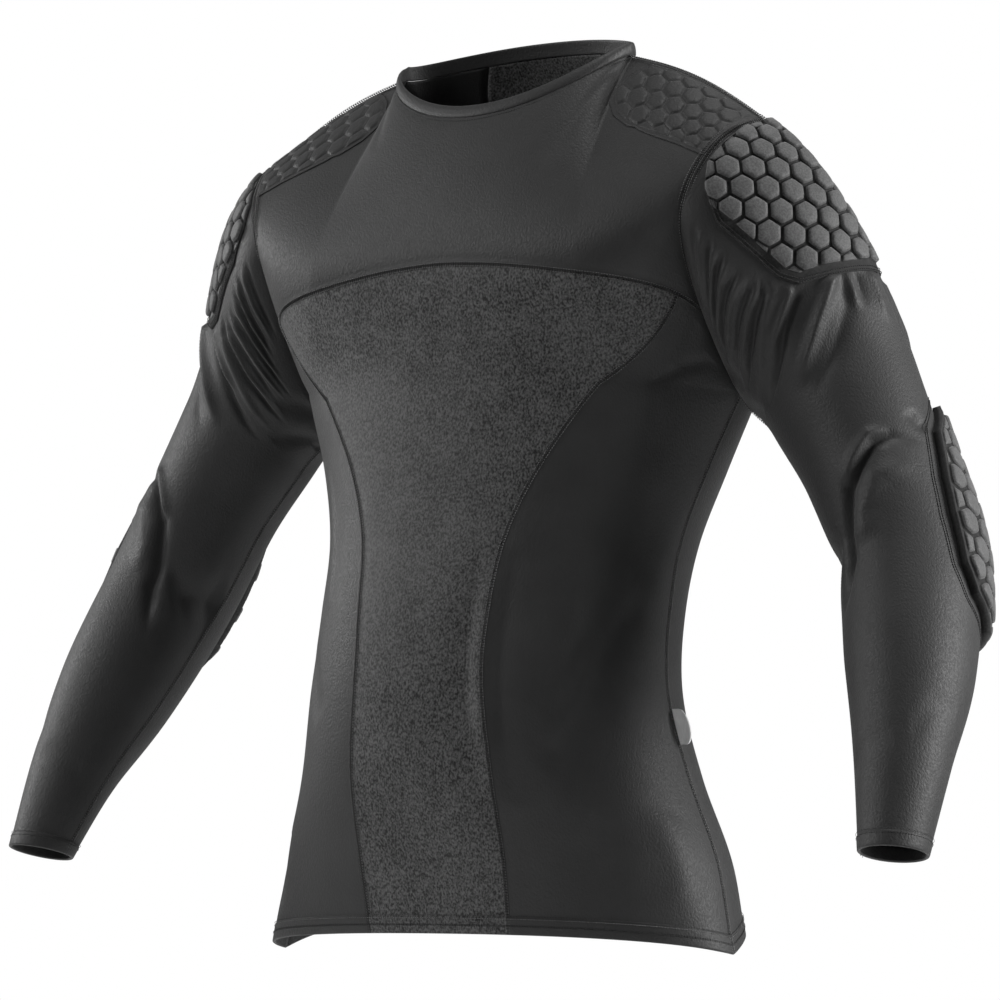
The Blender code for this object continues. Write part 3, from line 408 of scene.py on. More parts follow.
BACK_CREASES = (
    Crease(0.62, 0.57, 0.12, 0.47, 0.014, -0.0034, 0.02),
    Crease(-0.62, 0.58, -0.16, 0.45, 0.014, -0.0032, -0.02),
    Crease(0.56, 0.49, 0.06, 0.40, 0.012, 0.0026, 0.02),
    Crease(0.50, 0.44, 0.08, 0.36, 0.012, -0.0028, 0.03),
    Crease(-0.50, 0.47, -0.10, 0.37, 0.012, 0.0024, -0.02),
    Crease(-0.48, 0.42, -0.10, 0.32, 0.012, -0.0026, -0.02),
    Crease(0.40, 0.62, -0.30, 0.56, 0.014, -0.0020, 0.02),
    Crease(0.66, 1.42, 0.30, 1.28, 0.016, -0.0020, 0.04),
    Crease(-0.66, 1.44, -0.28, 1.30, 0.016, -0.0020, -0.04),
    Crease(0.88, 1.16, 0.62, 0.98, 0.011, -0.0026, 0.03),
    Crease(-0.88, 1.16, -0.62, 0.98, 0.011, -0.0026, -0.03),
    Crease(0.50, 0.24, 0.40, 0.03, 0.020, -0.0024, 0.02),
    Crease(-0.30, 0.24, -0.42, 0.03, 0.020, 0.0024, 0.02),
)
BODY_SCALE = (0.26, 0.44)


def crease_height(creases, u, v, scale):
    """How far the cloth stands out at places (u, v), from the creases that pass them."""
    total = np.zeros(np.broadcast(u, v).shape)
    for crease in creases:
        start = np.array((crease.u0 * scale[0], crease.v0 * scale[1]))
        run = np.array((crease.u1 * scale[0], crease.v1 * scale[1])) - start
        size = np.hypot(*run)
        x, y = u * scale[0] - start[0], v * scale[1] - start[1]
        along = np.clip((x * run[0] + y * run[1]) / size**2, 0, 1)
        off = (x * run[1] - y * run[0]) / size - crease.bend * scale[0] * np.sin(np.pi * along)
        inside = (along > 0) & (along < 1)
        ridge = np.exp(-((off / crease.width) ** 2)) * np.sin(np.pi * along) ** 0.6
        total += np.where(inside, crease.height * ridge, 0)
    return total


def cloth_object(name, points, faces, material):
    mesh = bpy.data.meshes.new(name)
    mesh.from_pydata(np.asarray(points).reshape(-1, 3).tolist(), [], faces)
    work = bmesh.new()
    work.from_mesh(mesh)
    bmesh.ops.recalc_face_normals(work, faces=work.faces)
    work.to_mesh(mesh)
    work.free()
    mesh.shade_smooth()
    mesh.materials.append(material)
    item = bpy.data.objects.new(name, mesh)
    scene.collection.objects.link(item)
    return item


def wall(name, outer, inner, closed, material):
    """A closed wall of cloth between an outer grid and an inner grid of every second column."""
    rows, columns = outer.shape[:2]
    inner_columns = inner.shape[1]
    first = rows * columns
    faces = []
    spans, inner_spans = (columns, inner_columns) if closed else (columns - 1, inner_columns - 1)
    for r in range(rows - 1):
        a, b = r * columns, (r + 1) * columns
        faces += [(a + c, a + (c + 1) % columns, b + (c + 1) % columns, b + c) for c in range(spans)]
        a, b = first + r * inner_columns, first + (r + 1) * inner_columns
        for c in range(inner_spans):
            d = (c + 1) % inner_columns
            faces.append((a + c, b + c, b + d, a + d))
        if not closed:
            for o, i in ((0, 0), (columns - 1, inner_columns - 1)):
                out, inn = r * columns + o, first + r * inner_columns + i
                faces.append((out, out + columns, inn + inner_columns, inn))
    for r in (0, rows - 1):
        for i in range(inner_spans):
            out = [r * columns + (2 * i + k) % columns for k in range(3)]
            inn = [first + r * inner_columns + (i + k) % inner_columns for k in range(2)]
            faces += [(out[0], out[1], inn[0]), (out[1], out[2], inn[1], inn[0])]
    return cloth_object(name, np.concatenate((outer.reshape(-1, 3), inner.reshape(-1, 3))), faces, material)


def border_reach(points):
    """How far each point of a grid lies from the grid's own sides and ends, along its rows and columns."""
    across = np.linalg.norm(np.diff(points, axis=1), axis=-1).cumsum(axis=1)
    across = np.concatenate((np.zeros((len(points), 1)), across), axis=1)
    along = np.linalg.norm(np.diff(points, axis=0), axis=-1).cumsum(axis=0)
    along = np.concatenate((np.zeros((1, points.shape[1])), along), axis=0)
    sides = np.minimum(across, across[:, -1:] - across)
    return sides, along, along[-1:] - along


def turned_hem(from_edge, depth):
    """How far a turned-up edge stands out, and how much thicker it is on its inside."""
    turned = 1 - step_in(from_edge, depth - 0.0010, depth + 0.0008)
    fold = np.sqrt(1 - (1 - np.minimum(from_edge / HEM_ROUND, 1)) ** 2)
    return turned * (HEM_EXTRA - 0.0013 * (1 - fold)), turned * (0.0006 * fold - 0.0005 * (1 - fold))


def settle(piece, slot, *nodes):
    """Puts a piece on the shirt's one body, in place of its plain nodes."""
    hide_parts(*nodes)
    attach(piece, "root")


SIDES = ((1, "left"), (-1, "right"))


def body_panel(name, s, t, back, material, slot, hemmed=True):
    """A panel of the body over a grid of places, with its creases, its sunk seams and its turned hem."""
    points, way = body_point(s, t, back), body_way(s, t, back)
    sides, from_bottom, from_top = border_reach(points)
    edge = np.minimum(sides, from_top if hemmed else np.minimum(from_top, from_bottom))
    shape = crease_height(BACK_CREASES if back else FRONT_CREASES, s, t, BODY_SCALE)
    shape *= step_in(edge, 0.002, 0.016)
    pucker = PUCKER_HEIGHT * np.sin(from_bottom * 2 * np.pi / PUCKER_PITCH + 2 * np.sin(from_bottom * 60))
    height = (pucker - 0.0002) * (1 - step_in(edge, 0.003, 0.010)) * step_in(edge, 0, 0.002)
    thickness = CLOTH
    if hemmed:
        rise, thicker = turned_hem(from_bottom, HEM_DEPTH)
        height = height * step_in(from_bottom, HEM_DEPTH, HEM_DEPTH + HEM_BLEND) + rise
        shape *= step_in(from_bottom, 0, HEM_DEPTH + HEM_BLEND)
        thickness = CLOTH + thicker
    outer = points + way * (shape + height)[..., None]
    inner = points + way * (shape - thickness)[..., None]
    for side, next_side in ((0, 1), (-1, -2)):
        pull = unit(points[:, next_side] - points[:, side]) * SEAM_GAP / 2
        outer[:, side] += pull
        inner[:, side] += pull
    for end, next_end in (((-1, -2),) if hemmed else ((0, 1), (-1, -2))):
        pull = unit(points[next_end] - points[end]) * SEAM_GAP / 2
        outer[end] += pull
        inner[end] += pull
    panel = wall(name, outer, inner[:, ::2], False, material)
    settle(panel, slot, name.replace("_cloth", ""))


hem_share = HEM_DEPTH / (ARMPIT_Z - HEM_Z)
hem_levels = np.concatenate((
    np.array((0, 0.02, 0.05, 0.09, 0.3, 0.6, 0.85, 0.93, 0.97, 1.0, 1.04, 1.1)) * hem_share,
    np.linspace(hem_share * 1.3, 1, 130),
))
side_top, seam_top = yoke_t(1.0), yoke_t(PANEL_TOP_S)
front_levels = np.concatenate((hem_levels, np.linspace(1, side_top, 36)[1:]))
share = (front_levels / side_top)[:, None]
front_edge = front_seam_curve(share)[..., 1]

top_s = np.linspace(-PANEL_TOP_S, PANEL_TOP_S, 121)[None]
centre_s = top_s / PANEL_TOP_S * front_edge
centre_t = share * seam_top + (yoke_t(top_s) - seam_top) * share**3
body_panel("front_centre_cloth", centre_s, centre_t, False, heather_knit, "heather_knit")

u = np.linspace(0, 1, 71)[None]
side_s = front_edge + (1 - front_edge) * u
straight_top = seam_top + (side_top - seam_top) * u
curved_top = yoke_t(PANEL_TOP_S + (1 - PANEL_TOP_S) * u)
side_t = share * straight_top + (curved_top - straight_top) * share**6
for side, word in SIDES:
    body_panel(
        f"side_{word}_cloth", side * side_s, side_t, False, smooth_knit, "smooth_knit",
    )

yoke_s = np.linspace(-1, 1, 181)[None]
yoke_share = np.linspace(0, 1, 81)[:, None]
body_panel(
    "front_yoke_cloth", yoke_s, yoke_t(yoke_s) + (2 - yoke_t(yoke_s)) * yoke_share, False, smooth_knit,
    "smooth_knit", hemmed=False,
)

back_levels = np.concatenate((hem_levels, np.linspace(1, 2, 90)[1:]))[:, None]
back_edge = back_seam_curve(back_levels)[..., 1]
body_panel(
    "back_centre_cloth", back_edge * np.linspace(-1, 1, 61)[None], back_levels, True, heather_knit,
    "heather_knit",
)
neck_s = back_edge + (1 - back_edge) * 3 / 8
neck_s = neck_s + (NECK_S - neck_s) * step_in(back_levels, 1.2, 2)
back_side_s = np.concatenate((
    back_edge + (neck_s - back_edge) * np.linspace(0, 1, 22)[None, :-1],
    neck_s + (1 - neck_s) * np.linspace(0, 1, 40)[None],
), axis=1)
for side, word in SIDES:
    body_panel(
        f"back_side_{word}_cloth", side * back_side_s, back_levels, True, smooth_knit, "smooth_knit",
    )

# The sleeves: one piece of smooth knit each, set into the armhole, gathered below the cap pad and creased at
# the elbow. The cuff is turned up once, like the hem.

Ring = namedtuple("Ring", "place x y z side_reach front_reach")
SLEEVE = (
    Ring(0.00, 0.288, 0.029, -0.273, 0.063, 0.063),
    Ring(0.18, 0.320, 0.021, -0.330, 0.056, 0.0615),
    Ring(0.36, 0.3525, 0.009, -0.4005, 0.054, 0.061),
    Ring(0.58, 0.378, -0.034, -0.4885, 0.0495, 0.0535),
    Ring(0.80, 0.3925, -0.0755, -0.563, 0.037, 0.038),
    Ring(1.00, 0.4015, -0.1085, -0.6325, 0.026, 0.028),
)
CUFF_AXIS, CUFF_TURN_FROM, CUFF_DEPTH = np.array((0.05, -0.22, -0.97)), 0.66, 0.012
CAP_SHARE = 0.32
LEAVE_INNER, LEAVE_OUTER = np.array((0.34, -0.10, -0.85)), np.array((0.85, 0, -0.583))
CAP_MIDDLE, ELBOW_MIDDLE = (0.5, 0.105), (0.645, 0.535)
CAP_PAD_OUTLINE = (
    (-0.108, -0.018), (-0.096, -0.038), (-0.072, -0.053), (-0.044, -0.063), (-0.012, -0.068), (0.020, -0.067),
    (0.050, -0.059), (0.078, -0.048), (0.092, -0.032), (0.094, 0.000), (0.084, 0.042), (0.060, 0.068),
    (0.030, 0.077), (-0.056, 0.079), (-0.072, 0.069), (-0.108, 0.014),
)
ELBOW_HALF_OUTLINE = (
    (0.028, -0.100), (0.058, -0.065), (0.068, -0.020), (0.071, 0.015), (0.069, 0.058), (0.058, 0.082),
    (0.024, 0.102),
)
ELBOW_PAD_OUTLINE = ELBOW_HALF_OUTLINE + tuple((-x, y) for x, y in reversed(ELBOW_HALF_OUTLINE))
SLEEVE_REACH = (0.36, 0.70)
sleeve_curve = Curve(SLEEVE)


def ring_frame(place):
    """Centre, side direction, back direction and reaches of rings of the left sleeve."""
    row = sleeve_curve(place)
    run = sleeve_curve(np.minimum(place + 0.02, 1)) - sleeve_curve(np.maximum(place - 0.02, 0))
    axis = unit(run[..., 1:4])
    turn = step_in(place, CUFF_TURN_FROM, 1)[..., None]
    axis = unit(axis * (1 - turn) + unit(CUFF_AXIS) * turn)
    outward = unit(np.cross((0.0, 1.0, 0.0), -axis))
    return row[..., 1:4], outward, np.cross(-axis, outward), row[..., 4:5], row[..., 5:6]


def ring_point(c, place):
    """Points of rings, c from 0 at the inside of the arm through the front, the outside and the back."""
    centre, outward, backward, side_reach, front_reach = ring_frame(place)
    turn = 2 * np.pi * np.asarray(c)[..., None]
    return centre - outward * side_reach * np.cos(turn) - backward * front_reach * np.sin(turn)


def armhole_point(c):
    front = c <= 0.5
    rise = np.where(front, 1 + 2 * c, 3 - 2 * c)
    return np.where(front[..., None], body_point(1, rise, False), body_point(1, rise, True))


def sleeve_point(c, r):
    """Points of the left sleeve's form, r from 0 at the armhole to 1 at the cuff."""
    c, r = np.broadcast_arrays(np.asarray(c, float) % 1, np.asarray(r, float))
    below = ring_point(c, np.maximum((r - CAP_SHARE) / (1 - CAP_SHARE), 0))
    start = armhole_point(c)
    end = ring_point(c, np.zeros_like(c))
    outer = ((1 - np.cos(2 * np.pi * c)) / 2)[..., None]
    front = np.sin(2 * np.pi * c)
    inner_way = np.stack((LEAVE_INNER[0] + 0 * c, LEAVE_INNER[1] * front, LEAVE_INNER[2] + 0 * c), -1)
    leave = unit(inner_way * (1 - outer) + LEAVE_OUTER * outer)
    arrive = unit(ring_point(c, np.full_like(c, 0.02)) - end)
    length = np.linalg.norm(end - start, axis=-1, keepdims=True)
    cap = hermite(start, leave * length, end, arrive * length, np.minimum(r / CAP_SHARE, 1)[..., None])
    return np.where((r >= CAP_SHARE)[..., None], below, cap)


def sleeve_way(c, r):
    c, r = np.broadcast_arrays(np.asarray(c, float), np.asarray(r, float))
    step = 0.004
    around = sleeve_point(c + step, r) - sleeve_point(c - step, r)
    along = sleeve_point(c, np.minimum(r + step, 1)) - sleeve_point(c, np.maximum(r - step, 0))
    near = 1 - step_in(r, 0, 0.05)[..., None]
    return unit(unit(np.cross(along, around)) * (1 - near) + armhole_way(armhole_point(c % 1)) * near)


def laid_place(x, y, middle):
    """Where places of a flat sheet lie on the left sleeve, going straight out from the sheet's middle."""
    x, y = np.broadcast_arrays(np.asarray(x, float), np.asarray(y, float))
    c, r = np.full(x.shape, middle[0]), np.full(x.shape, middle[1])
    steps, reach = 12, 0.004
    size = (np.hypot(x, y) / steps)[..., None]
    way = None
    for _ in range(steps):
        with_c = (sleeve_point(c + reach, r) - sleeve_point(c - reach, r)) / (2 * reach)
        with_r = (sleeve_point(c, r + reach) - sleeve_point(c, r - reach)) / (2 * reach)
        if way is None:
            x_way = unit(with_c)
            y_way = unit(with_r - x_way * (with_r * x_way).sum(-1, keepdims=True))
            way = x_way * x[..., None] + y_way * y[..., None] + 1e-12
        out = unit(np.cross(with_c, with_r))
        way = unit(way - out * (way * out).sum(-1, keepdims=True))
        cc, rr, cr = ((a * b).sum(-1) for a, b in ((with_c, with_c), (with_r, with_r), (with_c, with_r)))
        to_c, to_r = ((way * size * a).sum(-1) for a in (with_c, with_r))
        c = c + (to_c * rr - to_r * cr) / (cc * rr - cr * cr)
        r = r + (to_r * cc - to_c * cr) / (cc * rr - cr * cr)
    return c, r


def distance_outside(border, x, y):
    """How far places lie outside a border, below 0 inside it."""
    nearest = np.full(np.broadcast(x, y).shape, np.inf)
    inside = np.zeros(nearest.shape, bool)
    for (ax, ay), (bx, by) in zip(border, np.roll(border, -1, axis=0)):
        run_x, run_y = bx - ax, by - ay
        share = np.clip(((x - ax) * run_x + (y - ay) * run_y) / (run_x**2 + run_y**2), 0, 1)
        nearest = np.minimum(nearest, np.hypot(x - ax - run_x * share, y - ay - run_y * share))
        inside ^= ((ay > y) != (by > y)) & (x < ax + (y - ay) / (run_y or 1) * run_x)
    return np.where(inside, -nearest, nearest)


# Gathers hang from the front and lower edge of the cap pad, deep near it and lost lower down. Each fold line
# follows places (c, r) of the sleeve
FoldLine = namedtuple("FoldLine", "width height places")
GATHERS = (
    FoldLine(0.0055, 0.0066, ((0.420, 0.180), (0.395, 0.215), (0.330, 0.255), (0.280, 0.290),
                              (0.235, 0.325))),
    FoldLine(0.0042, -0.0056, ((0.350, 0.180), (0.325, 0.207), (0.268, 0.235), (0.230, 0.262),
                               (0.180, 0.285), (0.140, 0.300))),
    FoldLine(0.0060, -0.0026, ((0.435, 0.185), (0.400, 0.250), (0.330, 0.300), (0.260, 0.350))),
    FoldLine(0.0040, 0.0052, ((0.340, 0.180), (0.318, 0.205), (0.262, 0.228), (0.220, 0.250))),
    FoldLine(0.0042, -0.0050, ((0.300, 0.155), (0.280, 0.180), (0.195, 0.205), (0.143, 0.206),
                               (0.100, 0.200))),
    FoldLine(0.0060, 0.0032, ((0.315, 0.165), (0.250, 0.205), (0.175, 0.245), (0.120, 0.260))),
    FoldLine(0.0038, -0.0038, ((0.280, 0.145), (0.262, 0.160), (0.190, 0.165), (0.125, 0.165))),
    FoldLine(0.0036, -0.0036, ((0.275, 0.122), (0.262, 0.130), (0.175, 0.122), (0.100, 0.105))),
    FoldLine(0.0034, -0.0034, ((0.275, 0.090), (0.260, 0.096), (0.200, 0.100), (0.140, 0.090))),
    FoldLine(0.0034, -0.0032, ((0.275, 0.064), (0.260, 0.070), (0.210, 0.080), (0.150, 0.072))),
    FoldLine(0.0032, -0.0024, ((0.270, 0.035), (0.200, 0.038), (0.150, 0.032))),
    FoldLine(0.0038, 0.0030, ((0.285, 0.160), (0.195, 0.187), (0.130, 0.187))),
    FoldLine(0.0038, 0.0030, ((0.275, 0.135), (0.180, 0.144), (0.110, 0.138))),
    FoldLine(0.0034, 0.0026, ((0.272, 0.108), (0.190, 0.111), (0.120, 0.098))),
    FoldLine(0.0034, 0.0024, ((0.272, 0.078), (0.205, 0.090), (0.145, 0.081))),
    FoldLine(0.0032, 0.0022, ((0.272, 0.050), (0.205, 0.058), (0.150, 0.052))),
    FoldLine(0.0040, 0.0040, ((0.445, 0.180), (0.430, 0.212), (0.412, 0.262))),
    FoldLine(0.0040, -0.0034, ((0.470, 0.180), (0.450, 0.215), (0.436, 0.260))),
    FoldLine(0.0050, 0.0030, ((0.500, 0.180), (0.485, 0.220), (0.475, 0.280))),
    FoldLine(0.0052, -0.0030, ((0.540, 0.180), (0.545, 0.300))),
    FoldLine(0.0052, 0.0034, ((0.580, 0.180), (0.600, 0.300))),
    FoldLine(0.0052, -0.0034, ((0.620, 0.175), (0.665, 0.290))),
    FoldLine(0.0050, 0.0036, ((0.650, 0.160), (0.720, 0.270))),
    FoldLine(0.0048, -0.0034, ((0.680, 0.130), (0.770, 0.230))),
    FoldLine(0.0046, 0.0034, ((0.710, 0.090), (0.800, 0.190))),
    FoldLine(0.0044, -0.0030, ((0.735, 0.050), (0.830, 0.140))),
    FoldLine(0.0040, 0.0028, ((0.760, 0.020), (0.850, 0.095))),
)
# The bent elbow folds the cloth sharply across the front of the arm, and the inner fold runs round its inside
INNER_ELBOW_FOLD = FoldLine(0.0260, -0.0085, ((0.000, 0.570), (0.080, 0.578), (0.140, 0.600)))
ELBOW_FOLDS = (
    FoldLine(0.0052, -0.0085, ((0.140, 0.660), (0.190, 0.600), (0.203, 0.555), (0.225, 0.520), (0.250, 0.490),
                               (0.285, 0.472), (0.335, 0.448), (0.380, 0.446), (0.450, 0.456))),
    FoldLine(0.0048, 0.0046, ((0.240, 0.485), (0.285, 0.458), (0.335, 0.436), (0.380, 0.436))),
    FoldLine(0.0110, 0.0034, ((0.235, 0.590), (0.262, 0.530), (0.320, 0.490), (0.420, 0.484))),
    INNER_ELBOW_FOLD,
    FoldLine(0.0060, -0.0026, ((0.440, 0.412), (0.460, 0.430), (0.480, 0.440))),
)
ARM_CREASES = (
    Crease(0.900, 0.120, 1.020, 0.200, 0.0080, -0.0030, 0.00),
    Crease(0.060, 0.060, 0.120, 0.180, 0.0070, -0.0028, 0.00),
    Crease(0.020, 0.140, 0.110, 0.280, 0.0080, -0.0024, 0.00),
    Crease(0.350, 0.850, 0.500, 0.800, 0.0090, -0.0010, 0.02),
    Crease(0.080, 0.900, 0.300, 0.860, 0.0080, -0.0012, 0.02),
)
SLEEVE_SCALE = (0.38, 0.52)


def fold_height(folds, c, r):
    """How far the sleeve's cloth stands out at places (c, r), from the fold lines that pass them."""
    u, v = np.broadcast_arrays(c * SLEEVE_REACH[0], r * SLEEVE_REACH[1])
    total = np.zeros(u.shape)
    for fold in folds:
        spots = np.array(fold.places) * SLEEVE_REACH
        steps = np.diff(spots, axis=0)
        sizes = np.linalg.norm(steps, axis=1)
        off, along, passed = np.full(u.shape, np.inf), np.zeros(u.shape), 0
        for spot, step, size in zip(spots, steps, sizes):
            share = np.clip(((u - spot[0]) * step[0] + (v - spot[1]) * step[1]) / size**2, 0, 1)
            away = np.hypot(u - spot[0] - step[0] * share, v - spot[1] - step[1] * share)
            along = np.where(away < off, (passed + share * size) / sizes.sum(), along)
            off = np.minimum(off, away)
            passed += size
        fade = step_in(along, -0.04, 0.22) * (1 - step_in(along, 0.70, 1.03))
        total += fold.height * np.exp(-((off / fold.width) ** 1.6)) * fade
    return total


def clear_of_pads(c, r):
    """0 under a pad and 1 from a little way outside."""
    outside = np.inf
    for outline, middle in ((CAP_PAD_OUTLINE, CAP_MIDDLE), (ELBOW_PAD_OUTLINE, ELBOW_MIDDLE)):
        border = np.stack(laid_place(*np.transpose(outline), middle), -1) * SLEEVE_REACH
        outside = np.minimum(outside, distance_outside(border, c * SLEEVE_REACH[0], r * SLEEVE_REACH[1]))
    return step_in(outside, 0.001, 0.008)


cuff_speed = np.linalg.norm(sleeve_point(0.5, 1) - sleeve_point(0.5, 0.98)) / 0.02
cuff_share = 1 - CUFF_DEPTH / cuff_speed
cuff_rows = 1 - (1 - cuff_share) * np.array((1.1, 1.04, 1.0, 0.96, 0.9, 0.6, 0.3, 0.10, 0.05, 0.02, 0))
sleeve_r = np.concatenate((
    np.linspace(0, 0.64, 190), np.linspace(0.64, cuff_rows[0] - 0.004, 60)[1:], cuff_rows,
))[:, None]
sleeve_c = np.linspace(0, 1, 209)[None, :-1]
sleeve_points, sleeve_ways = sleeve_point(sleeve_c, sleeve_r), sleeve_way(sleeve_c, sleeve_r)
sleeve_shape = fold_height(GATHERS + ELBOW_FOLDS, sleeve_c, sleeve_r)
sleeve_shape += fold_height((INNER_ELBOW_FOLD,), sleeve_c - 1, sleeve_r)
for turn in (0, 1):
    sleeve_shape += crease_height(ARM_CREASES, sleeve_c + turn, sleeve_r, SLEEVE_SCALE)
_, from_armhole, from_cuff = border_reach(sleeve_points)
sleeve_shape *= clear_of_pads(sleeve_c, sleeve_r) * step_in(from_armhole, 0.002, 0.010)
sleeve_shape *= step_in(from_cuff, 0, CUFF_DEPTH + 0.02)
cuff_rise, cuff_thicker = turned_hem(from_cuff, CUFF_DEPTH)
sleeve_outer = sleeve_points + sleeve_ways * (sleeve_shape + cuff_rise)[..., None]
sleeve_inner = sleeve_points + sleeve_ways * (sleeve_shape - CLOTH - cuff_thicker)[..., None]
for grid in (sleeve_outer, sleeve_inner):
    grid[0] += unit(sleeve_points[1] - sleeve_points[0]) * SEAM_GAP / 2
for side, word in SIDES:
    mirror = np.array((side, 1, 1))
    outer, inner = sleeve_outer * mirror, sleeve_inner[:, ::2] * mirror
    sleeve = wall(f"sleeve_{word}_cloth", outer, inner, True, smooth_knit)
    settle(sleeve, "smooth_knit", f"sleeve_{word}_front", f"sleeve_{word}_back")

# The neckband: one strip of knit, folded double along its top and sewn round the neckline, so it stands up
# and leans in a little.

BAND_HEIGHT = 0.012
BandLevel = namedtuple("BandLevel", "height outside inside")
BAND_PROFILE = (
    BandLevel(0.00, 0.0000, -0.0024), BandLevel(0.10, 0.0008, -0.0023), BandLevel(0.30, 0.0012, -0.0020),
    BandLevel(0.50, 0.0014, -0.0018), BandLevel(0.70, 0.0013, -0.0017), BandLevel(0.88, 0.0009, -0.0018),
    BandLevel(0.97, 0.0002, -0.0016), BandLevel(1.00, -0.0005, -0.0011),
)
front_s = np.linspace(-NECK_S, NECK_S, 97)[:-1]
back_s = np.linspace(NECK_S, -NECK_S, 97)[:-1]
base = np.concatenate((body_point(front_s, 2, False), body_point(back_s, 2, True)))
below = np.concatenate((body_point(front_s, 1.96, False), body_point(back_s, 1.96, True)))
mix = (np.abs(np.concatenate((front_s, back_s))) / NECK_S)[:, None]
band_rise = unit(unit(base - below) * (1 - 0.5 * mix) + np.array((0, 0, 1)) * (0.35 + 0.3 * mix))
for _ in range(6):
    band_rise = unit(band_rise * 2 + np.roll(band_rise, 1, axis=0) + np.roll(band_rise, -1, axis=0))
band_out = unit(base * (1, 1, 0))
band_out = unit(band_out - band_rise * (band_out * band_rise).sum(axis=1, keepdims=True))
profile = np.array(BAND_PROFILE)
reach_up = SEAM_GAP + profile[:, 0] * BAND_HEIGHT
stem = base[None] + band_rise[None] * reach_up[:, None, None]
band_outer = stem + band_out[None] * profile[:, 1][:, None, None]
band_inner = stem + band_out[None] * profile[:, 2][:, None, None]
neckband = wall("neckband_cloth", band_outer, band_inner[:, ::2], True, band_knit)
settle(neckband, "band_knit", "neckband")

# The pads: moulded foam cells, each a low hexagon with soft corners, bonded to a thin backing. On the sleeve
# caps and the elbows a brushed cover lies over the cells, and on the shoulders smooth knit, which shows them as
# faint ribs.

pad_cover = Finish("pad_cover", 0.62, 0.25, 0.45)
cover_grain = pad_cover.noise(640, 2)
cover_cloud = pad_cover.spread(pad_cover.noise(60, 2), 0.3, 0.7)
cover_share = pad_cover.spread(cover_grain, 0.32, 0.68) * 0.7 + cover_cloud * 0.3
pad_cover.link(pad_cover.mix(cover_share, grey(0.050), grey(0.125)), "Base Color")
pad_cover.bump(cover_grain, 0.30, 0.0005)
# The groove finish is a darker grey: painted shade down in the grooves between the cells. The flat rim of a pad
# takes the same darker grey.
pad_groove_shade, _ = grained("pad_groove_shade", (0.8, 0.05, 0.5), (500, 2), (0.3, 0.7), (0.012, 0.030))

EDGE_STEPS = 4
CellPlan = namedtuple("CellPlan", "pitch turn start")
SHOULDER_CELLS = CellPlan(0.0207, 0.00, (0.070, 0.045))
CAP_CELLS = CellPlan(0.0207, 0.31, (-0.098, -0.013))
ELBOW_CELLS = CellPlan(0.0235, 0.00, (0.000, 0.000))
CellRing = namedtuple("CellRing", "scale height rounding")
COVERED_CELL = (
    CellRing(0.935, 0.04, 0.12), CellRing(0.880, 0.40, 0.32), CellRing(0.83, 0.72, 0.48),
    CellRing(0.76, 0.90, 0.60), CellRing(0.62, 0.98, 0.70), CellRing(0.34, 1.02, 0.85),
)
HIDDEN_CELL = (
    CellRing(0.94, 0.14, 0.10), CellRing(0.87, 0.52, 0.25), CellRing(0.78, 0.82, 0.45),
    CellRing(0.64, 0.97, 0.65), CellRing(0.36, 1.0, 0.8),
)


def edge_lines(outline):
    """Each edge of a convex outline, as a place on it and the way out across it."""
    middle = np.mean(outline, axis=0)
    for start, end in zip(outline, outline[1:] + outline[:1]):
        across = unit(np.array((end[1] - start[1], start[0] - end[0])))
        yield np.array(start), across if np.dot(across, middle - start) < 0 else -across


def hexagons(outline, plan, margin):
    """A flat sheet of hexagons, cut to a convex outline, with a plain rim margin(way) wide along each edge."""
    work = bmesh.new()
    corner = plan.pitch / 3**0.5
    count = int(np.ptp(outline, axis=0).max() / (corner * 1.5)) + 2
    turned = np.array(((np.cos(plan.turn), np.sin(plan.turn)), (-np.sin(plan.turn), np.cos(plan.turn))))
    spokes = np.arange(6) * np.pi / 3 - plan.turn
    for row in range(-count, count + 1):
        for column in range(-count, count + 1):
            x, y = plan.start + np.array(((column + (row % 2) / 2) * plan.pitch, row * corner * 1.5)) @ turned
            around = [(x + corner * np.sin(k), y + corner * np.cos(k), 0) for k in spokes]
            work.faces.new([work.verts.new(place) for place in around])
    bmesh.ops.remove_doubles(work, verts=work.verts, dist=plan.pitch / 100)
    lines = list(edge_lines(outline))
    for place, across in lines:
        for inset, clear in ((0, True), (margin(across), False)):
            bmesh.ops.bisect_plane(
                work, geom=work.verts[:] + work.edges[:] + work.faces[:],
                plane_co=(*(place - across * inset), 0), plane_no=(*across, 0), clear_outer=clear,
            )
    bmesh.ops.remove_doubles(work, verts=work.verts, dist=plan.pitch / 14)
    corners = np.array([v.co[:2] for v in work.verts])
    cells = [[v.index for v in face.verts] for face in work.faces if face.calc_area() > 2e-6]
    work.free()
    rims = [
        any(np.dot(place - corners[cell].mean(axis=0), across) < margin(across) for place, across in lines)
        for cell in cells
    ]
    return corners, cells, rims


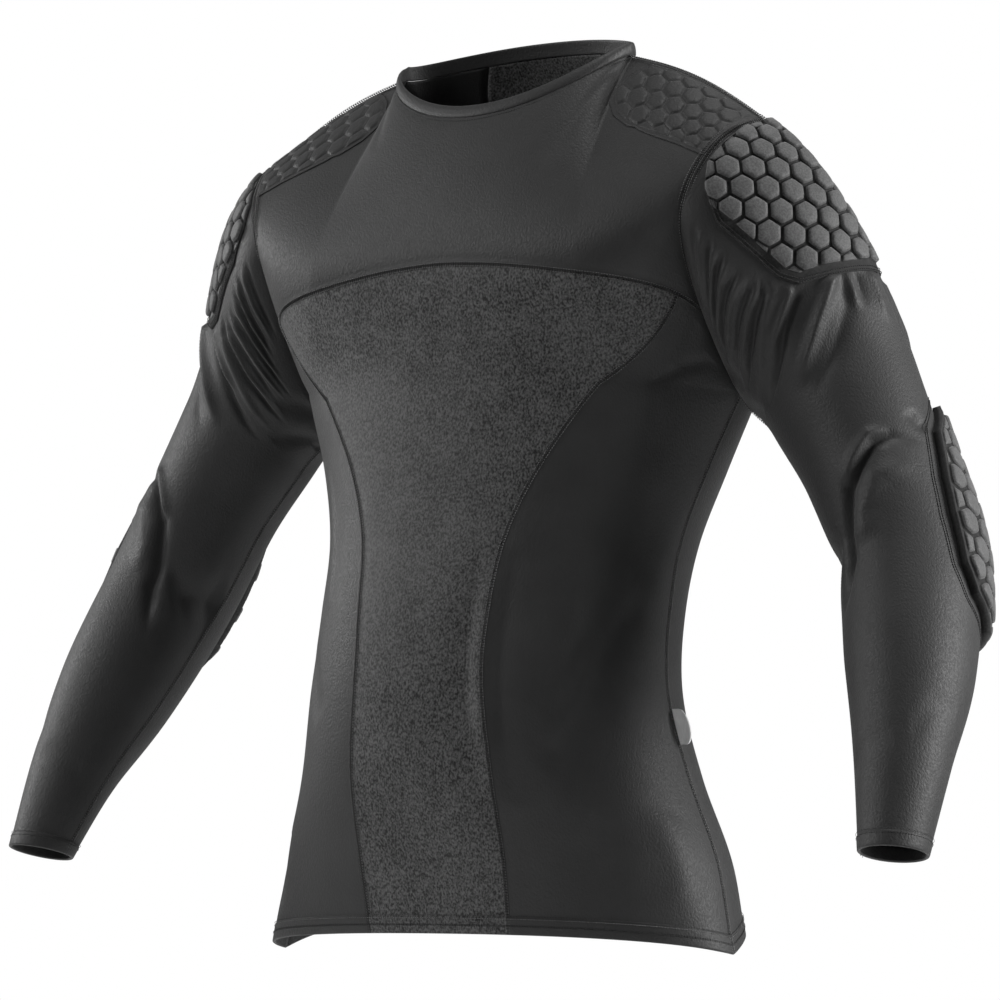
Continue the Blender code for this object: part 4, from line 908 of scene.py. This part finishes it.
def moulded_pad(name, outline, plan, margin, heights, rings, place, material, groove, seed):
    """A closed pad of raised cells. place(x, y, height) puts points of the flat sheet on the shirt."""
    corners, cells, rims = hexagons(outline, plan, margin)
    lift, base, crown = heights
    uneven = np.random.default_rng(seed)
    whole = plan.pitch**2 * 3**0.5 / 2
    flat, faces, slots, rim, uses = [], [], [], {}, {}

    def rim_point(a, b, k):
        """The k-th of the steps from corner a to corner b, shared by the cells on both sides."""
        low, high = min(a, b), max(a, b)
        k = k if a < b else EDGE_STEPS - k
        key = (low, high, k) if 0 < k < EDGE_STEPS else (low if k == 0 else high,)
        if key not in rim:
            x, y = corners[low] + (corners[high] - corners[low]) * k / EDGE_STEPS
            rim[key] = len(flat)
            flat.append((x, y, base))
            flat.append((x, y, lift))
        return rim[key]

    for cell, plain in zip(cells, rims):
        loop = [rim_point(a, b, k) for a, b in zip(cell, cell[1:] + cell[:1]) for k in range(EDGE_STEPS)]
        count = len(loop)
        places = np.array([flat[i][:2] for i in loop])
        poly = corners[cell]
        nxt = np.roll(poly, -1, axis=0)
        size = abs((poly[:, 0] * nxt[:, 1] - poly[:, 1] * nxt[:, 0]).sum()) / 2
        middle = places.mean(axis=0)
        spokes = places - middle
        radius = np.linalg.norm(spokes, axis=1)
        top = (crown - base) * min(1, size / whole * 1.6) * (0.94 + 0.12 * uneven.random())
        tilt = (uneven.random(2) - 0.5) * 0.035
        grow = 0.98 + 0.03 * uneven.random()
        last = loop
        for ring in () if plain else rings:
            rounded = radius + (np.minimum(radius, radius.mean()) - radius) * ring.rounding
            spots = middle + spokes * (ring.scale * grow * rounded / radius)[:, None]
            raised = base + top * ring.height + (spots - middle) @ tilt * ring.height
            this = list(range(len(flat), len(flat) + count))
            flat += [(x, y, h) for (x, y), h in zip(spots, raised)]
            for i in range(count):
                j = (i + 1) % count
                faces.append((last[i], last[j], this[j], this[i]))
                # The two lowest rings of each cell, down in the groove, take the darker groove finish: painted
                # shade.
                slots.append(1 if ring in rings[:2] else 0)
            last = this
        flat.append((*middle, base if plain else base + top * (rings[-1].height + 0.01)))
        peak = len(flat) - 1
        flat.append((*middle, lift))
        for i in range(count):
            j = (i + 1) % count
            faces.append((last[i], last[j], peak))
            faces.append((loop[j] + 1, loop[i] + 1, peak + 1))
            slots += [1 if plain else 0, 1]
            uses[loop[i], loop[j]] = True
    for a, b in uses:
        if (b, a) not in uses:
            faces.append((b, a, a + 1, b + 1))
            slots.append(1)
    pad = cloth_object(name, place(*np.array(flat).T), faces, material)
    pad.data.materials.append(groove)
    pad.data.polygons.foreach_set("material_index", slots)
    return pad


def cap_margin(across):
    """The rim is wide along the pad's front lower and lower edges."""
    return 0.0085 if across[1] > 0.4 else 0.0


for side, word in SIDES:
    mirror = np.array((side, 1, 1))

    def on_sleeve(x, y, height, middle):
        c, r = laid_place(x, y, middle)
        return (sleeve_point(c, r) + sleeve_way(c, r) * np.asarray(height)[..., None]) * mirror

    cap = moulded_pad(
        f"cap_cells_{word}", CAP_PAD_OUTLINE, CAP_CELLS, cap_margin, (0.0004, 0.0012, 0.0052), COVERED_CELL,
        lambda x, y, h: on_sleeve(x, y, h, CAP_MIDDLE), pad_cover.material, pad_groove_shade.material, 3,
    )
    settle(cap, "pad_foam", f"cap_pad_{word}")
    elbow = moulded_pad(
        f"elbow_cells_{word}", ELBOW_PAD_OUTLINE, ELBOW_CELLS, lambda across: 0.0025,
        (0.0004, 0.0070, 0.0104), COVERED_CELL, lambda x, y, h: on_sleeve(x, y, h, ELBOW_MIDDLE),
        pad_cover.material, pad_groove_shade.material, 5,
    )
    settle(elbow, "pad_foam", f"elbow_pad_{word}")

SHOULDER_PAD_OUTLINE = (
    (0.024, 0.005), (0.134, 0.005), (0.134, 0.092), (0.066, 0.083), (0.030, 0.075), (0.010, 0.065),
    (0.000, 0.052), (-0.001, 0.040), (0.010, 0.022),
)
SHOULDER_BACK_OUTLINE = (
    (0.020, 0.005), (0.134, 0.005), (0.134, 0.078), (0.070, 0.070), (0.030, 0.058), (0.012, 0.036),
    (0.012, 0.018),
)
seam_run = np.linalg.norm(np.diff(body_point(np.linspace(NECK_S, 1, 12), 1.93, False), axis=0), axis=-1).sum()
drops = np.linspace(2, 1.3, 30)


def on_shoulder(x, y, height, back):
    column = body_point(0.75, drops, back)
    down = np.concatenate(([0], np.linalg.norm(np.diff(column, axis=0), axis=-1).cumsum()))
    s = np.minimum(NECK_S + (1 - NECK_S) * x / seam_run, 1)
    t = np.interp(y, down, drops)
    return body_point(s, t, back) + body_way(s, t, back) * np.asarray(height)[..., None]


for side, word in SIDES:
    for back, ending, outline in ((False, "", SHOULDER_PAD_OUTLINE), (True, "_back", SHOULDER_BACK_OUTLINE)):
        pad = moulded_pad(
            f"shoulder_cells{ending}_{word}", outline, SHOULDER_CELLS, lambda across: 0.0035,
            (0.0002, 0.0009, 0.0026), HIDDEN_CELL, lambda x, y, h: on_shoulder(x, y, h, back) * (side, 1, 1),
            smooth_knit, smooth_knit, 7,
        )
        settle(pad, "shoulder_foam", f"shoulder_pad{ending}_{word}")

# The stitching: flat seams join the panels edge to edge under two ladders of dark thread, whose needle
# stitches are a lighter grey: painted highlights, the glints of the dark thread. The hem, the cuffs and the pads
# have rows of cover stitch. The thread is textured nylon.

# The light grey thread is painted highlight: the glints of the dark thread, put into its colour.
dark_thread, _ = grained("dark_thread", (0.60, 0.10, 0.40), (700, 1), (0.35, 0.65), (0.006, 0.022))
glint_thread, _ = grained("glint_thread", (0.42, 0.30, 0.30), (900, 1), (0.35, 0.65), (0.10, 0.26))
STITCH_PITCH, PATH_PLACES = 0.0022, 400


def along_path(points, ways, pitch):
    """Even places along a path, with the path's direction, the way out of the cloth and the way across."""
    run = np.concatenate(([0], np.linalg.norm(np.diff(points, axis=0), axis=-1).cumsum()))
    count = max(int(run[-1] / pitch), 2)
    at = np.linspace(pitch / 2, run[-1] - pitch / 2, count)
    spots = np.stack([np.interp(at, run, points[:, i]) for i in range(3)], -1)
    out = unit(np.stack([np.interp(at, run, ways[:, i]) for i in range(3)], -1))
    forward = unit(np.gradient(spots, axis=0))
    return spots, forward, out, unit(np.cross(out, forward))


class Sewing:
    """Collects short threads, dark or light grey, the light ones painted highlights, and makes them one object.
    """

    def __init__(self):
        self.points, self.faces, self.slots, self.count = [], [], [], 0

    def add(self, stations, out, radius, light):
        """Threads through stations (n, k, 3), with out (n, 3) the way out of the cloth."""
        n, k = stations.shape[:2]
        axis = unit(stations[:, -1] - stations[:, 0])
        side = unit(np.cross(axis, out))
        rim = [out * np.cos(a) + side * np.sin(a) for a in (0, 2 * np.pi / 3, 4 * np.pi / 3)]
        taper = np.ones(k)
        taper[0] = taper[-1] = 0.6
        ring = np.stack(rim, 1)[:, None] * (radius * taper)[None, :, None, None]
        self.points.append((stations[:, :, None] + ring).reshape(-1, 3))
        shape = [(3 * j + a, 3 * j + (a + 1) % 3, 3 * j + 3 + (a + 1) % 3, 3 * j + 3 + a)
                 for j in range(k - 1) for a in range(3)]
        caps = [(2, 1, 0), (3 * k - 3, 3 * k - 2, 3 * k - 1)]
        for i in range(n):
            first = self.count + i * 3 * k
            self.faces += [tuple(first + v for v in face) for face in shape + caps]
        # light picks the light grey thread, which is painted highlight.
        self.slots += [int(light)] * (n * (len(shape) + len(caps)))
        self.count += n * 3 * k

    def ladder(self, points, ways, middle, width, height=0.0002):
        """Dark rungs close together across a seam, with a light grey stitch, a painted highlight, along each end
        of every rung.
        """
        spots, forward, out, across = along_path(points, ways, STITCH_PITCH)
        spots = spots + out * height + across * middle
        low, high = spots - across * width / 2, spots + across * width / 2
        self.add(np.stack((low, spots + out * 0.0002, high), 1), out, 0.00062, False)
        for edge in (low, high):
            self.row(edge + forward * STITCH_PITCH / 2 + out * 0.0003, forward, out, 0.30, 0.00030, True)

    def row(self, spots, forward, out, share, radius, light):
        reach = forward * STITCH_PITCH * share
        self.add(np.stack((spots - reach, spots + out * 0.0001, spots + reach), 1), out, radius, light)

    def rows(self, points, ways, offsets, height, radius=0.00028, share=0.38, light=False):
        """Plain rows of stitches at offsets across the path."""
        spots, forward, out, across = along_path(points, ways, STITCH_PITCH)
        for offset in offsets:
            self.row(spots + out * height + across * offset, forward, out, share, radius, light)

    def finish(self, name):
        item = cloth_object(name, np.concatenate(self.points), self.faces, dark_thread.material)
        item.data.materials.append(glint_thread.material)
        item.data.polygons.foreach_set("material_index", self.slots)
        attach(item, "root")


def flat_seam(sewing, points, ways, double=False):
    for middle in (-0.0023, 0.0023) if double else (0,):
        sewing.ladder(points, ways, middle, 0.0030)


def round_outline(outline, offset):
    """Close places along an outline, moved out by offset."""
    around = np.array(outline + outline[:1])
    run = np.concatenate(([0], np.linalg.norm(np.diff(around, axis=0), axis=-1).cumsum()))
    at = np.linspace(0, run[-1], 240)
    x, y = (np.interp(at, run, around[:, i]) for i in range(2))
    for _ in range(3):
        x[:-1], y[:-1] = ((np.roll(v[:-1], 1) + v[:-1] * 2 + np.roll(v[:-1], -1)) / 4 for v in (x, y))
        x[-1], y[-1] = x[0], y[0]
    way = unit(np.stack((np.gradient(y), -np.gradient(x)), -1))
    outward = np.sign(((x - x.mean()) * way[:, 0] + (y - y.mean()) * way[:, 1]).sum())
    return x + way[:, 0] * offset * outward, y + way[:, 1] * offset * outward


def body_path(s, t, back):
    return body_point(s, t, back), body_way(s, t, back)


def sleeve_path(c, r, mirror):
    return sleeve_point(c, r) * mirror, sleeve_way(c, r) * mirror


front_seams, back_seams, armholes, edges = Sewing(), Sewing(), Sewing(), Sewing()
line, arch = np.linspace(0, 1, PATH_PLACES), np.linspace(-1, 1, PATH_PLACES)
flat_seam(front_seams, *body_path(arch, yoke_t(arch), False))
for side, _ in SIDES:
    mirror = np.array((side, 1, 1))
    flat_seam(front_seams, *body_path(side * front_seam_curve(line)[..., 1], line * seam_top, False))
    flat_seam(back_seams, *body_path(side, line, False))
    flat_seam(back_seams, *body_path(side * back_seam_curve(2 * line)[..., 1], 2 * line, True))
    flat_seam(back_seams, *body_path(side * (NECK_S + (1 - NECK_S) * line), 2, False), True)
    flat_seam(armholes, *sleeve_path(line, 0, mirror), True)
    flat_seam(armholes, *sleeve_path(0, line, mirror))
    cuff_r = np.full(PATH_PLACES, sleeve_r[-len(cuff_rows) + 3, 0])
    edges.rows(*sleeve_path(line, cuff_r, mirror), (-0.0012, 0.0022), 0.0009)
    for outline, middle, offset, height in (
        (CAP_PAD_OUTLINE, CAP_MIDDLE, -0.0012, 0.0018), (CAP_PAD_OUTLINE, CAP_MIDDLE, -0.0040, 0.0018),
        (ELBOW_PAD_OUTLINE, ELBOW_MIDDLE, 0.0080, 0.0003), (ELBOW_PAD_OUTLINE, ELBOW_MIDDLE, 0.0105, 0.0003),
    ):
        c, r = laid_place(*round_outline(outline, offset), middle)
        edges.rows(*sleeve_path(c, np.maximum(r, 0.004), mirror), (0.0,), height, 0.00045, 0.46)
for back in (False, True):
    # The hem's row at 12.8 mm is light grey thread: painted highlights.
    for up, light in ((0.0070, False), (0.0078, False), (0.0128, True), (0.0150, False)):
        level_t = np.full(PATH_PLACES, up / (ARMPIT_Z - HEM_Z))
        edges.rows(*body_path(arch, level_t, back), (0.0,), 0.0009, light=light)
loop = np.arange(len(base) + 1) % len(base)
edges.rows(base[loop] - band_rise[loop] * 0.0030, band_out[loop], (0.0,), 0.0006)
front_seams.finish("front_seam_stitches")
back_seams.finish("back_seam_stitches")
armholes.finish("sleeve_seam_stitches")
edges.finish("hem_stitches")

# The care label: a short blank tape, folded double, with its ends caught in the left side seam.

tape, tape_grain = grained(
    "label_tape_cloth", (0.6, 0.1, 0.5), (700, 1, (1, 1, 0.2)), (0.3, 0.7), (0.84, 0.94),
)
tape.bump(tape_grain, 0.2, 0.0003)
LABEL_T, LABEL_HEIGHT, LABEL_CLEAR = 0.40, 0.028, 0.0010
LABEL_LEAST, LABEL_REACH = 0.005, 0.0115
TAPE_THICK, TAPE_OPEN = 0.00025, 0.0011
label_rows, fold_steps = 41, 12
down_label = np.linspace(-1, 1, label_rows)
seam_place = body_point(1, LABEL_T + down_label * LABEL_HEIGHT / 2 / (ARMPIT_Z - HEM_SIDE_Z), False)
reach = LABEL_LEAST + (LABEL_REACH - LABEL_LEAST) * np.sqrt(1 - down_label**2)
leg = np.linspace(0, 1, 10)[:-1]
bend = np.linspace(-np.pi / 2, np.pi / 2, fold_steps + 1)
loop_out = np.concatenate((leg, 1 + np.cos(bend) * TAPE_OPEN / LABEL_REACH, leg[::-1]))
loop_side = np.concatenate((0 * leg - 1, np.sin(bend), 0 * leg + 1)) * (0.35 + 0.65 * np.minimum(loop_out, 1))
face = np.repeat(seam_place[:, None], len(loop_out), axis=1)
face[..., 0] += LABEL_CLEAR + reach[:, None] * loop_out[None]
swing = 0.0012 * np.sin(2.2 * loop_out[None]) * (1 + 0.4 * down_label[:, None])
face[..., 1] += TAPE_OPEN * loop_side[None] + swing
inner_face = face.copy()
inner_face[..., 1] -= TAPE_THICK * np.sign(loop_side)[None] * (np.abs(loop_side) > 0.3)[None]
inner_face[..., 0] -= TAPE_THICK * (loop_out > 1)[None]
label = wall("care_label_tape", face, inner_face[:, ::2], False, tape.material)
settle(label, "label_tape", "care_label")

# The floor: a plain pale painted sheet.

floor_paint = Finish("floor_paint", 0.7, 0, 0.5)
floor_tone = floor_paint.noise(2.5, 2)
floor_paint.link(floor_paint.mix(floor_tone, grey(0.86), grey(0.90)), "Base Color")
floor.data.materials.append(floor_paint.material)
